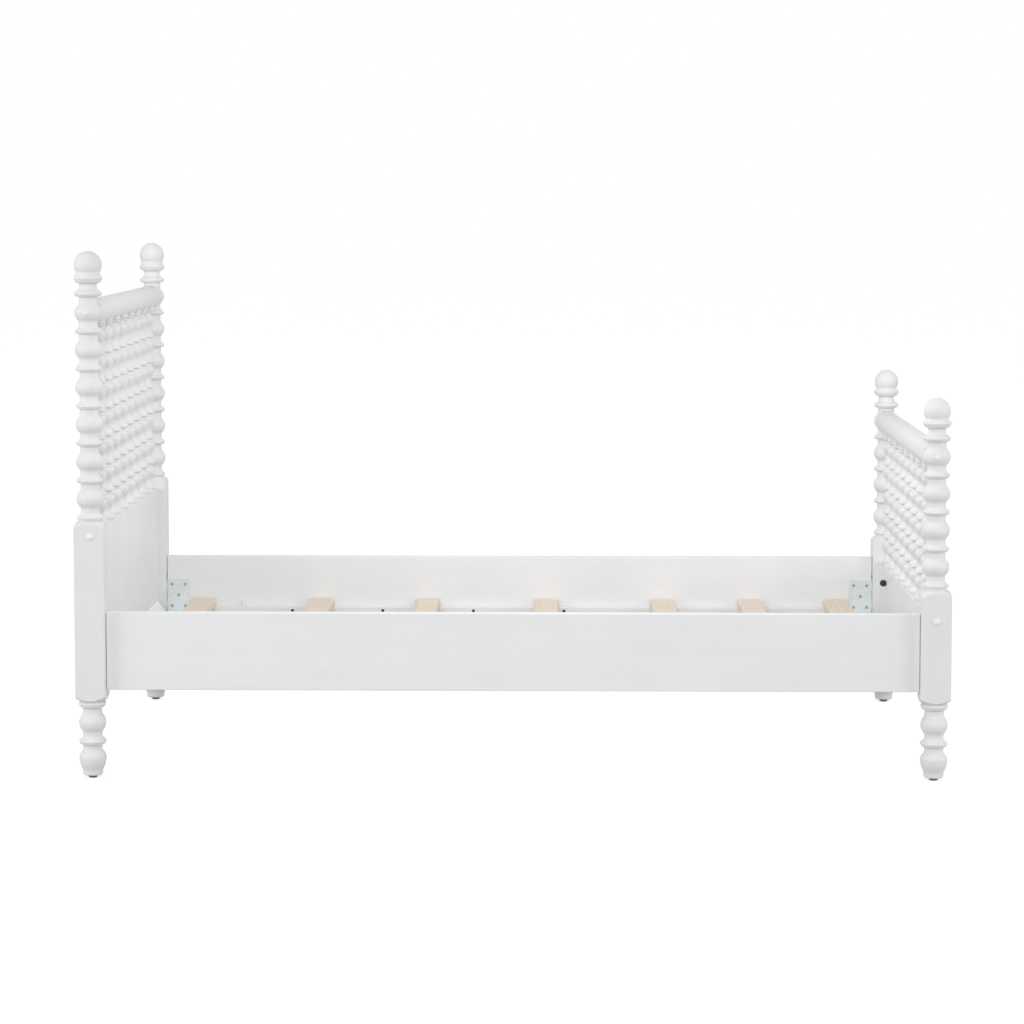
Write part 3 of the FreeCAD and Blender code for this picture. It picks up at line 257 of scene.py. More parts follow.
def brushed_film() -> bpy.types.NodeTree:
    """Paint over planed or turned wood: the grain telegraphs through, the film is a little uneven.

    Returns:
        A group from a place stretched along the grain, and a plain place, to a height, a slow
        mottle, soft streaks along the grain and a mask of pores.
    """
    wire, given, result = new_group(
        "brushed film", {"Along grain": "Vector", "Place": "Vector"},
        {"Height": "Float", "Mottle": "Float", "Streaks": "Float", "Pores": "Float"})
    along, place = given.outputs["Along grain"], given.outputs["Place"]
    film = FilmPattern()
    lines = wire.noise(along, *film.lines)
    pores = wire.remap(wire.noise(along, *film.pores), *film.pore_edge, 1.0, 0.0)
    peel = wire.noise(place, *film.peel)
    height = wire.weighted((lines, film.line_relief), (pores, film.pore_relief),
                           (peel, film.peel_relief))
    wire.join(height, result.inputs["Height"])
    wire.join(wire.noise(place, *film.mottle), result.inputs["Mottle"])
    wire.join(wire.noise(along, *film.streaks), result.inputs["Streaks"])
    wire.join(pores, result.inputs["Pores"])
    return wire.tree


def pine_figure() -> bpy.types.NodeTree:
    """Flat-sawn pine: growth rings round an off-centre pith, fibres along the board, small knots.

    Returns:
        A group from a place on the board, grain along Y, to masks of late wood, fibres and knots,
        and a height.
    """
    wire, given, result = new_group(
        "pine figure", {"Board": "Vector"},
        {"Late wood": "Float", "Fibres": "Float", "Knots": "Float", "Height": "Float"})
    board = given.outputs["Board"]
    pine = PinePattern()
    flat = wire.stretched(board, pine.knot_spread)
    knot = wire.place("ShaderNodeTexVoronoi", {"Vector": flat, "Scale": 1.0, "Randomness": 1.0})
    reach = knot.outputs["Distance"]
    swerve = wire.remap(reach, 0.0, pine.swerve_reach, pine.swerve, 0.0)
    wander = wire.noise(wire.stretched(board, pine.wander_spread), 1.0, 2.0)
    sway = wire.weighted((wander, pine.wander), (swerve, 1.0))
    x, _, z = wire.apart(board)
    section = wire.together(wire.maths("ADD", x, sway), 0.0, z)
    radius = wire.place("ShaderNodeVectorMath", {"Vector": section}, operation="LENGTH").outputs["Value"]
    ring = wire.maths("FRACT", wire.maths("DIVIDE", radius, pine.ring_width))
    late = wire.maths("POWER", wire.remap(ring, *pine.late_edge), pine.late_power)
    fibres = wire.noise(wire.stretched(board, pine.fibre_spread), *pine.fibres)
    knots = wire.remap(reach, *pine.knot_edge, 1.0, 0.0)
    wire.join(late, result.inputs["Late wood"])
    wire.join(fibres, result.inputs["Fibres"])
    wire.join(knots, result.inputs["Knots"])
    height = wire.weighted((late, pine.late_relief), (fibres, pine.fibre_relief),
                           (knots, pine.knot_relief))
    wire.join(height, result.inputs["Height"])
    return wire.tree


def spangle() -> bpy.types.NodeTree:
    """The mottle of a plated or blackened metal skin.

    Returns:
        A group from a place to a mask of crystals, a stain mask and a height.
    """
    wire, given, result = new_group(
        "metal skin", {"Place": "Vector"}, {"Crystals": "Float", "Stain": "Float", "Height": "Float"})
    place = given.outputs["Place"]
    skin = SkinPattern()
    cells = wire.place("ShaderNodeTexVoronoi", {"Vector": place, "Scale": skin.crystals},
                       feature="SMOOTH_F1")
    crystals = wire.apart(cells.outputs["Color"])[0]
    grit = wire.noise(place, *skin.grit)
    wire.join(crystals, result.inputs["Crystals"])
    wire.join(wire.noise(place, *skin.stain), result.inputs["Stain"])
    wire.join(wire.weighted((crystals, skin.crystal_relief), (grit, skin.grit_relief)),
              result.inputs["Height"])
    return wire.tree


SHADER_GROUPS = {"brushed film": brushed_film, "pine figure": pine_figure, "metal skin": spangle}


def effect(wire: Wiring, name: str, feeds: dict[str, object]) -> bpy.types.Node:
    """Places a shader group in a material, building the group the first time.

    Args:
        wire: The material's wiring.
        name: The group's name.
        feeds: A socket or a value by the name of the group's input.

    Returns:
        The group's node.
    """
    node = wire.node("ShaderNodeGroup")
    node.node_tree = bpy.data.node_groups.get(name) or SHADER_GROUPS[name]()
    for label, value in feeds.items():
        wire.feed(node.inputs[label], value)
    return node


# ---------------------------------------------------------------- finishes


@dataclass(frozen=True)
class Finish:
    """A surface finish that makes one material."""

    name: str

    def material(self) -> bpy.types.Material:
        """Returns the finish's material, made the first time it is asked for."""
        found = bpy.data.materials.get(self.name)
        if found:
            return found
        made = bpy.data.materials.new(self.name)
        made.use_nodes = True
        wire = Wiring(made.node_tree)
        self.wire_up(wire, made.node_tree.nodes["Principled BSDF"])
        return made

    def wire_up(self, wire: Wiring, shader: bpy.types.Node) -> None:
        """Feeds the shader; each finish has its own way."""
        raise NotImplementedError


def own_place(wire: Wiring) -> bpy.types.NodeSocket:
    """The place on the object, in metres."""
    return wire.node("ShaderNodeTexCoord").outputs["Object"]


def relief(wire: Wiring, shader: bpy.types.Node, height: bpy.types.NodeSocket, depth: float,
           strength: float = 1.0) -> None:
    """Feeds the shader's normal from a height.

    Args:
        wire: The material's wiring.
        shader: The Principled shader.
        height: The height's socket, around 0 to 1.
        depth: Depth of the relief in metres.
        strength: Strength of the effect.
    """
    node = wire.place("ShaderNodeBump", {"Strength": strength, "Distance": depth, "Height": height})
    wire.join(node.outputs["Normal"], shader.inputs["Normal"])


@dataclass(frozen=True)
class SatinPaint(Finish):
    """Satin white paint through which the wood's grain shows a little."""

    grain: Grain = Grain.UPRIGHT
    full: Colour = (0.812, 0.817, 0.824, 1.0)
    thin: Colour = (0.785, 0.791, 0.799, 1.0)
    pored: Colour = (0.725, 0.73, 0.735, 1.0)
    stretch: float = 0.05
    gloss: float = 0.3
    mottle_share: float = 0.6
    tone_edge: Point = (0.38, 0.62)
    pore_share: float = 0.3
    rough_edge: Point = (0.35, 0.65)
    roughness: Point = (0.5, 0.4)
    depth: float = 0.00014
    strength: float = 0.5

    def wire_up(self, wire: Wiring, shader: bpy.types.Node) -> None:
        """Feeds colour, roughness and relief from the brushed film."""
        scale = tuple(1.0 + axis * (self.stretch - 1.0) for axis in self.grain.value)
        place = own_place(wire)
        film = effect(wire, "brushed film",
                      {"Along grain": wire.stretched(place, scale), "Place": place})
        uneven = wire.weighted((film.outputs["Mottle"], self.mottle_share),
                               (film.outputs["Streaks"], 1.0 - self.mottle_share))
        base = wire.blend_colours(wire.remap(uneven, *self.tone_edge), self.thin, self.full)
        faint = wire.maths("MULTIPLY", film.outputs["Pores"], self.pore_share)
        wire.join(wire.blend_colours(faint, base, self.pored), shader.inputs["Base Color"])
        wire.join(wire.remap(uneven, *self.rough_edge, *self.roughness), shader.inputs["Roughness"])
        shader.inputs["Specular IOR Level"].default_value = self.gloss
        relief(wire, shader, film.outputs["Height"], self.depth, self.strength)


@dataclass(frozen=True)
class BarePine(Finish):
    """Planed pale pine, unfinished; reads each board's own place from its attribute."""

    early: Colour = (0.815, 0.712, 0.602, 1.0)
    late: Colour = (0.686, 0.557, 0.428, 1.0)
    knot: Colour = (0.33, 0.19, 0.10, 1.0)
    ring_share: float = 0.75
    late_tone: float = 0.8
    knot_tone: float = 0.85
    roughness: Point = (0.66, 0.54)
    depth: float = 0.00018
    strength: float = 0.6

    def wire_up(self, wire: Wiring, shader: bpy.types.Node) -> None:
        """Feeds colour, roughness and relief from the pine's figure."""
        board = wire.node("ShaderNodeAttribute", attribute_name="board").outputs["Vector"]
        figure = effect(wire, "pine figure", {"Board": board})
        late = wire.weighted((figure.outputs["Late wood"], self.ring_share),
                             (figure.outputs["Fibres"], 1.0 - self.ring_share))
        wood = wire.blend_colours(wire.maths("MULTIPLY", late, self.late_tone), self.early, self.late)
        knots = wire.maths("MULTIPLY", figure.outputs["Knots"], self.knot_tone)
        wire.join(wire.blend_colours(knots, wood, self.knot), shader.inputs["Base Color"])
        wire.join(wire.remap(late, 0.0, 1.0, *self.roughness), shader.inputs["Roughness"])
        relief(wire, shader, figure.outputs["Height"], self.depth, self.strength)


@dataclass(frozen=True)
class SteelSkin(Finish):
    """Zinc-plated or blackened steel with a fine mottle."""

    bright: Colour = (0.75, 0.79, 0.79, 1.0)
    dull: Colour = (0.65, 0.705, 0.71, 1.0)
    smooth: float = 0.34
    rough: float = 0.52
    crystal_share: float = 0.5
    mottle_edge: Point = (0.3, 0.7)
    depth: float = 0.00005
    strength: float = 0.4

    def wire_up(self, wire: Wiring, shader: bpy.types.Node) -> None:
        """Feeds colour, roughness and relief from the metal's skin."""
        skin = effect(wire, "metal skin", {"Place": own_place(wire)})
        mottle = wire.weighted((skin.outputs["Crystals"], self.crystal_share),
                               (skin.outputs["Stain"], 1.0 - self.crystal_share))
        mottle = wire.remap(mottle, *self.mottle_edge)
        shader.inputs["Metallic"].default_value = 1.0
        wire.join(wire.blend_colours(mottle, self.dull, self.bright), shader.inputs["Base Color"])
        wire.join(wire.remap(mottle, 0.0, 1.0, self.rough, self.smooth), shader.inputs["Roughness"])
        relief(wire, shader, skin.outputs["Height"], self.depth, self.strength)


@dataclass(frozen=True)
class Moulding(Finish):
    """Moulded plastic or rubber with a fine eroded skin."""

    light: Colour = (0.82, 0.82, 0.815, 1.0)
    dark: Colour = (0.77, 0.77, 0.765, 1.0)
    smooth: float = 0.3
    rough: float = 0.42
    cloud: Pattern = (60.0, 3.0)
    cloud_edge: Point = (0.35, 0.65)
    skin: Pattern = (1800.0, 2.0)
    depth: float = 0.00004
    strength: float = 0.35

    def wire_up(self, wire: Wiring, shader: bpy.types.Node) -> None:
        """Feeds colour, roughness and relief from two noises."""
        place = own_place(wire)
        cloud = wire.noise(place, *self.cloud)
        skin = wire.noise(place, *self.skin)
        wire.join(wire.blend_colours(wire.remap(cloud, *self.cloud_edge), self.dark, self.light),
                  shader.inputs["Base Color"])
        wire.join(wire.remap(cloud, *self.cloud_edge, self.rough, self.smooth),
                  shader.inputs["Roughness"])
        relief(wire, shader, skin, self.depth, self.strength)


# Darker copy of the white satin paint for the posts, spindles and cleat pegs: painted shade.
SHADED_UPRIGHT_PAINT = SatinPaint("satin paint, upright grain", Grain.UPRIGHT, (0.775, 0.782, 0.79, 1.0),
                           (0.748, 0.756, 0.765, 1.0))
# Slightly lighter copy of the white satin paint for the side rails and cleats: painted light.
LIT_LENGTH_PAINT = SatinPaint("satin paint, grain along the bed", Grain.LENGTH, (0.828, 0.832, 0.84, 1.0),
                          (0.80, 0.805, 0.815, 1.0))
WIDTH_PAINT = SatinPaint("satin paint, grain across the bed", Grain.WIDTH)
# Darker copy of the white satin paint for the round top rails: painted shade.
SHADED_ROUND_PAINT = SatinPaint("satin paint on a round rail", Grain.WIDTH, (0.748, 0.755, 0.763, 1.0),
                         (0.722, 0.73, 0.739, 1.0))
# Lighter copy of the white satin paint for the head batten: painted highlight on its bevel, which faces
# up.
HIGHLIT_BATTEN_PAINT = SatinPaint("thick satin paint", Grain.WIDTH, (0.90, 0.902, 0.905, 1.0),
                          (0.87, 0.873, 0.877, 1.0))
PINE = BarePine("bare pine")
ZINC = SteelSkin("zinc plate")
ZINC_SCREW = SteelSkin("zinc screw", (0.44, 0.48, 0.45, 1.0), (0.35, 0.39, 0.37, 1.0))
BLACK_SCREW = SteelSkin("blackened screw", (0.045, 0.04, 0.038, 1.0), (0.025, 0.023, 0.022, 1.0),
                        0.38, 0.5)
CAP_PLASTIC = Moulding("white cap plastic")
GLIDE_PLASTIC = Moulding("glide plastic", (0.21, 0.20, 0.185, 1.0), (0.16, 0.15, 0.14, 1.0), 0.4, 0.55)
RUBBER = Moulding("black rubber", (0.022, 0.022, 0.022, 1.0), (0.014, 0.014, 0.014, 1.0), 0.5, 0.68)


def dress(node: str, finish: Finish) -> None:
    """Gives a piece carried over from the frame its finish."""
    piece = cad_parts[node]
    if not piece.material_slots:
        piece.data.materials.append(None)
    for slot in piece.material_slots:
        slot.material = finish.material()
    log.info("%s: %s", node, finish.name)


# ---------------------------------------------------------------- grown pieces


def turned_row() -> bpy.types.NodeTree:
    """A row of equal turned rods, from the outlines of a foot, a unit that repeats and a top.

    Returns:
        A geometry tree that takes the unit's outline, in the plane of X and Z.
    """
    wire, given, result = new_group(
        "turned row",
        {"Geometry": "Geometry", "Foot": "Object", "Top": "Object", "Beads": "Int",
         "Bead pitch": "Float", "Rods": "Int", "First": "Vector", "Spacing": "Float", "Sides": "Int",
         "Finish": "Material"},
        {"Geometry": "Geometry"}, "GeometryNodeTree")
    take = given.outputs
    levels = wire.place("GeometryNodeMeshLine", {
        "Count": take["Beads"], "Offset": wire.together(z=take["Bead pitch"])})
    stack = wire.place("GeometryNodeInstanceOnPoints", {
        "Points": levels.outputs[0], "Instance": take["Geometry"]})
    stack = wire.place("GeometryNodeRealizeInstances", {"Geometry": stack.outputs[0]})
    chain = wire.node("GeometryNodeJoinGeometry")
    wire.join(stack.outputs[0], chain.inputs[0])
    for label in ("Foot", "Top"):
        part = wire.place("GeometryNodeObjectInfo", {"Object": take[label]})
        wire.join(part.outputs["Geometry"], chain.inputs[0])
    chain = wire.place("GeometryNodeMergeByDistance", {
        "Geometry": chain.outputs[0], "Distance": STEP / 4})
    outline = wire.place("GeometryNodeMeshToCurve", {"Mesh": chain.outputs[0]})
    radius, _, level = wire.apart(wire.node("GeometryNodeInputPosition").outputs[0])
    outline = wire.place("GeometryNodeSetCurveRadius", {"Curve": outline.outputs[0], "Radius": radius})
    axis = wire.place("GeometryNodeSetPosition", {
        "Geometry": outline.outputs[0], "Position": wire.together(z=level)})
    circle = wire.place("GeometryNodeCurvePrimitiveCircle", {
        "Resolution": take["Sides"], "Radius": 1.0})
    rod = wire.place("GeometryNodeCurveToMesh", {
        "Curve": axis.outputs[0], "Profile Curve": circle.outputs[0],
        "Scale": wire.node("GeometryNodeInputRadius").outputs[0], "Fill Caps": True})
    places = wire.place("GeometryNodeMeshLine", {
        "Count": take["Rods"], "Start Location": take["First"],
        "Offset": wire.together(y=take["Spacing"])})
    row = wire.place("GeometryNodeInstanceOnPoints", {
        "Points": places.outputs[0], "Instance": rod.outputs[0]})
    finish_tree(wire, row.outputs[0], take["Finish"], result)
    return wire.tree


def sawn_board() -> bpy.types.NodeTree:
    """A board across the bed with eased edges, and an attribute with each point's own place on it.

    Returns:
        A geometry tree that makes the board from its sizes alone.
    """
    wire, given, result = new_group(
        "sawn board",
        {"Geometry": "Geometry", "Length": "Float", "Width": "Float", "Thickness": "Float",
         "Edge": "Float", "Middle": "Vector", "Cut from": "Vector", "Finish": "Material"},
        {"Geometry": "Geometry"}, "GeometryNodeTree")
    take = given.outputs
    section = wire.place("GeometryNodeCurvePrimitiveQuadrilateral", {
        "Width": take["Width"], "Height": take["Thickness"]})
    section = wire.place("GeometryNodeFilletCurve", {
        "Curve": section.outputs[0], "Count": EDGE_STEPS, "Radius": take["Edge"]}, mode="POLY")
    half = wire.maths("MULTIPLY", take["Length"], 0.5)
    line = wire.place("GeometryNodeCurvePrimitiveLine", {
        "Start": wire.together(y=wire.maths("MULTIPLY", half, -1.0)), "End": wire.together(y=half)})
    board = wire.place("GeometryNodeCurveToMesh", {
        "Curve": line.outputs[0], "Profile Curve": section.outputs[0], "Fill Caps": True})
    own = wire.place("ShaderNodeVectorMath", {}, operation="ADD")
    wire.join(wire.node("GeometryNodeInputPosition").outputs[0], own.inputs[0])
    wire.join(take["Cut from"], own.inputs[1])
    board = wire.place("GeometryNodeStoreNamedAttribute", {
        "Geometry": board.outputs[0], "Name": "board", "Value": own.outputs[0]},
        data_type="FLOAT_VECTOR")
    board = wire.place("GeometryNodeTransform", {
        "Geometry": board.outputs[0], "Translation": take["Middle"]})
    board = wire.place("GeometryNodeSetShadeSmooth", {
        "Geometry": board.outputs[0], "Shade Smooth": False})
    finish_tree(wire, board.outputs[0], take["Finish"], result)
    return wire.tree


def set_screws() -> bpy.types.NodeTree:
    """Screws driven at marks, each along the mark's own facing and turned by chance.

    Returns:
        A geometry tree that takes the marks, points with an attribute for the way they face.
    """
    wire, given, result = new_group(
        "set screws",
        {"Geometry": "Geometry", "Screw": "Object", "Seed": "Int", "Finish": "Material"},
        {"Geometry": "Geometry"}, "GeometryNodeTree")
    take = given.outputs
    screw = wire.place("GeometryNodeObjectInfo", {"Object": take["Screw"]})
    facing = wire.place("GeometryNodeInputNamedAttribute", {"Name": "facing"},
                        data_type="FLOAT_VECTOR")
    turn = wire.place("FunctionNodeAlignRotationToVector", {"Vector": facing.outputs[0]}, axis="Z")
    screws = wire.place("GeometryNodeInstanceOnPoints", {
        "Points": take["Geometry"], "Instance": screw.outputs["Geometry"],
        "Rotation": turn.outputs[0]})
    chance = wire.place("FunctionNodeRandomValue", {
        "Min": 0.0, "Max": math.pi / 2, "Seed": take["Seed"]})
    value = next(socket for socket in chance.outputs if socket.enabled)
    screws = wire.place("GeometryNodeRotateInstances", {
        "Instances": screws.outputs[0], "Rotation": wire.together(z=value)})
    finish_tree(wire, screws.outputs[0], take["Finish"], result)
    return wire.tree


def finish_tree(wire: Wiring, source: bpy.types.NodeSocket, finish: bpy.types.NodeSocket,
                result: bpy.types.Node) -> None:
    """Ends a geometry tree: makes instances real and sets the material."""
    real = wire.place("GeometryNodeRealizeInstances", {"Geometry": source})
    dressed = wire.place("GeometryNodeSetMaterial", {"Geometry": real.outputs[0], "Material": finish})
    wire.join(dressed.outputs[0], result.inputs[0])


GEOMETRY_TREES = {"turned row": turned_row, "sawn board": sawn_board, "set screws": set_screws}


@dataclass
class Start:
    """A mesh that a geometry tree grows a piece from; it leaves nothing behind."""

    name: str
    points: list[Place]
    facings: list[Place] = field(default_factory=list)
    chained: bool = False

    def build(self) -> bpy.types.Object:
        """Makes the object, its points joined one after the other if they are a chain."""
        edges = [(index, index + 1) for index in range(len(self.points) - 1)] if self.chained else []
        mesh = bpy.data.meshes.new(self.name)
        mesh.from_pydata(self.points, edges, [])
        if self.facings:
            marks = mesh.attributes.new("facing", "FLOAT_VECTOR", "POINT")
            for mark, way in zip(marks.data, self.facings):
                mark.vector = way
        made = bpy.data.objects.new(self.name, mesh)
        bpy.context.scene.collection.objects.link(made)
        return made


def remove(*pieces: bpy.types.Object) -> None:
    """Takes helper objects and their meshes out of the file."""
    for piece in pieces:
        bpy.data.meshes.remove(piece.data)


def grow(name: str, tree_name: str, start: bpy.types.Object,
         values: dict[str, object]) -> bpy.types.Object:
    """Grows a piece with a geometry tree and turns it into a plain mesh.

    Args:
        name: The piece's name.
        tree_name: The geometry tree's name.
        start: The object the tree starts from; it is removed.
        values: The tree's values by input name.

    Returns:
        The finished piece.
    """
    tree = bpy.data.node_groups.get(tree_name) or GEOMETRY_TREES[tree_name]()
    modifier = start.modifiers.new("rule", "NODES")
    modifier.node_group = tree
    for item in tree.interface.items_tree:
        if item.in_out == "INPUT" and item.name in values:
            modifier[item.identifier] = values[item.name]
    graph = bpy.context.evaluated_depsgraph_get()
    mesh = bpy.data.meshes.new_from_object(start.evaluated_get(graph))
    mesh.name = name
    remove(start)
    turn_outward(mesh)
    piece = bpy.data.objects.new(name, mesh)
    bpy.context.scene.collection.objects.link(piece)
    return piece


def turn_outward(mesh: bpy.types.Mesh) -> None:
    """Points every face of a closed mesh outward."""
    work = bmesh.new()
    work.from_mesh(mesh)
    bmesh.ops.recalc_face_normals(work, faces=work.faces)
    work.to_mesh(mesh)
    work.free()


def settle(piece: bpy.types.Object, body: str, slot: str, *nodes: str) -> None:
    """Hands a piece to its body and hides the nodes it stands for."""
    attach(piece, body)
    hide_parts(*nodes)
    log.info("%s stands for %s", piece.name, ", ".join(nodes))


# ---------------------------------------------------------------- turned outlines


def swell(neck: Point, crest: Point, share: float, steps: int = 7) -> list[Point]:
    """Points from a neck to a crest along a hollow arc and a round arc that meet smoothly.

    Args:
        neck: Radius and level of the narrow end.
        crest: Radius and level of the wide end.
        share: Share of the way taken by the hollow arc.
        steps: Steps along each arc.

    Returns:
        The points from neck to crest, both ends included.
    """
    run, rise = crest[0] - neck[0], crest[1] - neck[1]
    whole = (run * run + rise * rise) / (2.0 * run)
    hollow, round_off = whole * share, whole * (1.0 - share)
    middle = rise * share
    points = []
    for step in range(steps + 1):
        along = middle * step / steps
        points.append((neck[0] + hollow - math.sqrt(hollow ** 2 - along ** 2), neck[1] + along))
    for step in range(1, steps + 1):
        back = (rise - middle) * (1.0 - step / steps)
        points.append((crest[0] - round_off + math.sqrt(round_off ** 2 - back ** 2), crest[1] - back))
    return points


def bulge(edge: float, low: float, high: float, rise: float, steps: int = 8) -> list[Point]:
    """Points up a shallow arc that stands out from a straight edge.

    Args:
        edge: Radius at both ends.
        low: Level of the lower end.
        high: Level of the upper end.
        rise: How far the middle stands out.
        steps: Steps along the arc.

    Returns:
        The points, both ends included.
    """
    half = (high - low) / 2.0
    whole = (half * half + rise * rise) / (2.0 * rise)
    points = []
    for step in range(steps + 1):
        along = (2.0 * step / steps - 1.0) * half
        points.append((edge + rise - whole + math.sqrt(whole ** 2 - along ** 2), low + half + along))
    return points


def softened(points: list[Point], ease: float) -> list[Point]:
    """Eases the sharp corners of an outline, as paint does.

    Args:
        points: The outline, upward; its first and last points stay.
        ease: How far along each edge a corner is cut back.

    Returns:
        The outline with three points in place of each sharp corner, always climbing.
    """
    eased = [points[0]]
    for before, here, after in zip(points, points[1:], points[2:]):
        back = Vector(before) - Vector(here)
        on = Vector(after) - Vector(here)
        if min(back.length, on.length) < ROOM_TO_EASE * ease or back.angle(on) > SHARP_CORNER:
            eased.append(here)
            continue
        first = Vector(here) + back.normalized() * ease
        last = Vector(here) + on.normalized() * ease
        between = Vector(here) * CORNER_KEPT + (first + last) * (1.0 - CORNER_KEPT) / 2.0
        eased += [tuple(first), tuple(between), tuple(last)]
    eased.append(points[-1])
    climbing = [eased[0]]
    for radius, level in eased[1:]:
        climbing.append((radius, max(level, climbing[-1][1] + STEP)))
    return climbing


def standing(points: list[Point]) -> list[Place]:
    """An outline's points in the plane of X and Z."""
    return [(radius, 0.0, level) for radius, level in points]


# ---------------------------------------------------------------- sub-assemblies


@dataclass
class Spindles:
    """The turned spindles of one end board, between its panel and its top rail."""

    end: End
    seat: float
    top: float
    disc: float
    beads: int
    count: int = 8
    span: float = 1.036
    along: float = 0.9835
    neck: float = 0.009
    lip: float = 0.016
    vase: float = 0.0165
    base: Point = (0.015, 0.005)
    tenon: Point = (0.008, 0.013)
    disc_radius: float = 0.0165
    ring: float = 0.0045
    ring_bulge: float = 0.0015
    groove: Point = (0.0135, 0.0012)
    first_lip: float = 0.0075
    under: float = 0.0025
    lip_rim: float = 0.002
    bell: float = 0.0185
    vase_foot: float = 0.0215
    crest_drop: float = 0.019
    neck_drop: float = 0.0055
    bell_share: float = 0.35
    vase_share: float = 0.4
    neck_share: float = 0.3
    sides: int = 28
    ease: float = 0.0005
    crease: float = math.radians(38.0)

    @property
    def pitch(self) -> float:
        """Height of one bell and the vase over it."""
        return (self.top - self.disc - self.seat - self.first_lip) / self.beads

    def bell_and_vase(self, lip: float) -> list[Point]:
        """Outline of one bell and the vase over it, from the bell's lip to the next neck."""
        bell = swell((self.neck, lip + self.bell), (self.lip, lip + self.lip_rim), self.bell_share)
        rise = swell((self.neck, lip + self.vase_foot), (self.vase, lip + self.pitch - self.crest_drop),
                     self.vase_share)
        fall = swell((self.neck, lip + self.pitch - self.neck_drop),
                     (self.vase, lip + self.pitch - self.crest_drop), self.neck_share)
        return [(self.lip, lip)] + bell[::-1] + rise + fall[-2::-1] + [
            (self.neck, lip - self.under + self.pitch)]

    def unit(self) -> list[Point]:
        """Outline of the second bell and vase, from one neck to the next."""
        lip = self.seat + self.first_lip + self.pitch
        return softened([(self.neck, lip - self.under)] + self.bell_and_vase(lip), self.ease)

    def foot(self) -> list[Point]:
        """Outline of the lower tenon, the base disc and the first bell and vase."""
        radius, length = self.tenon
        base, height = self.base
        lip = self.seat + self.first_lip
        return softened([(radius, self.seat - length), (radius, self.seat), (base, self.seat),
                         (base, self.seat + height), (self.groove[0], lip - self.under)]
                        + self.bell_and_vase(lip), self.ease)

    def head(self) -> list[Point]:
        """Outline of the last cone, the ring, the groove, the top disc and the upper tenon."""
        radius, length = self.tenon
        inner, height = self.groove
        low = self.top - self.disc
        high = low + self.ring
        edge = self.disc_radius - self.ring_bulge
        return softened([(self.neck, low - self.under)] + bulge(edge, low, high, self.ring_bulge)
                        + [(inner, high), (inner, high + height), (self.disc_radius, high + height),
                           (self.disc_radius, self.top), (radius, self.top),
                           (radius, self.top + length)], self.ease)

    def build(self) -> None:
        """Grows the row of spindles in place of the plain ones."""
        name = self.end.name.lower()
        spacing = self.span / (self.count + 1)
        foot = Start("spindle_foot", standing(self.foot()), chained=True).build()
        head = Start("spindle_head", standing(self.head()), chained=True).build()
        unit = Start("spindle_unit", standing(self.unit()), chained=True).build()
        row = grow(f"{name}board_spindles", "turned row", unit, {
            "Foot": foot, "Top": head, "Beads": self.beads - 1, "Bead pitch": self.pitch,
            "Rods": self.count, "First": (self.end.value * self.along, spacing - self.span / 2, 0.0),
            "Spacing": spacing, "Sides": self.sides, "Finish": SHADED_UPRIGHT_PAINT.material()})
        remove(foot, head)
        row.data.set_sharp_from_angle(angle=self.crease)
        settle(row, "frame", "painted_wood", *(f"{name}_spindle_{n}" for n in range(1, self.count + 1)))


@dataclass
class EndBoard:
    """Headboard or footboard: two posts, a top rail, spindles and a panel."""

    end: End
    spindles: Spindles

    def build(self) -> None:
        """Builds the spindles and dresses the posts, the rail and the panel."""
        name = self.end.name.lower()
        for side in Side:
            dress(f"{name}_post_{side.name.lower()}", SHADED_UPRIGHT_PAINT)
        dress(f"{name}_top_rail", SHADED_ROUND_PAINT)
        dress(f"{name}_panel", WIDTH_PAINT)
        self.spindles.build()


@dataclass
class WoodScrew:
    """A countersunk wood screw with a cross recess, its face at the origin and looking up."""

    head: float = 0.0043
    shank: float = 0.0021
    sink: float = 0.0024
    length: float = 0.020
    tip: float = 0.004
    slot_half: float = 0.00055
    slot_reach: float = 0.0025
    slot_depth: float = 0.0012
    slot_taper: float = 0.7
    sides: int = 20

    def ring(self, work: bmesh.types.BMesh, radius: float, level: float) -> list[bmesh.types.BMVert]:
        """A ring of points at a level."""
        turns = [2.0 * math.pi * index / self.sides for index in range(self.sides)]
        return [work.verts.new((radius * math.cos(turn), radius * math.sin(turn), level))
                for turn in turns]

    def cross(self, work: bmesh.types.BMesh, reach: float, level: float) -> list[bmesh.types.BMVert]:
        """The twelve corners of the recess at a level."""
        half = self.slot_half
        quarter = [(reach, -half), (reach, half), (half, half)]
        corners = []
        for _ in range(4):
            corners += quarter
            quarter = [(-y, x) for x, y in quarter]
        return [work.verts.new((x, y, level)) for x, y in corners]

    def build(self) -> bpy.types.Object:
        """Makes the screw as one closed shell."""
        work = bmesh.new()
        rings = [self.ring(work, self.head, 0.0), self.ring(work, self.shank, -self.sink),
                 self.ring(work, self.shank, self.tip - self.length)]
        opening = self.cross(work, self.slot_reach, 0.0)
        floor = self.cross(work, self.slot_reach * self.slot_taper, -self.slot_depth)
        for upper, lower in zip(rings, rings[1:]):
            self.wall(work, upper, lower)
        self.wall(work, opening, floor)
        work.faces.new(floor)
        point = work.verts.new((0.0, 0.0, -self.length))
        for index, vert in enumerate(rings[2]):
            work.faces.new((vert, rings[2][index - 1], point))
        rim = [work.edges.get((vert, rings[0][index - 1])) for index, vert in enumerate(rings[0])]
        slot = [work.edges.get((vert, opening[index - 1])) for index, vert in enumerate(opening)]
        bmesh.ops.triangle_fill(work, use_beauty=True, edges=rim + slot)
        mesh = bpy.data.meshes.new("wood_screw")
        work.to_mesh(mesh)
        work.free()
        made = bpy.data.objects.new("wood_screw", mesh)
        bpy.context.scene.collection.objects.link(made)
        return made

    @staticmethod
    def wall(work: bmesh.types.BMesh, upper: list[bmesh.types.BMVert],
             lower: list[bmesh.types.BMVert]) -> None:
        """Faces between two rings of as many points."""
        for index in range(len(upper)):
            work.faces.new((upper[index - 1], upper[index], lower[index], lower[index - 1]))


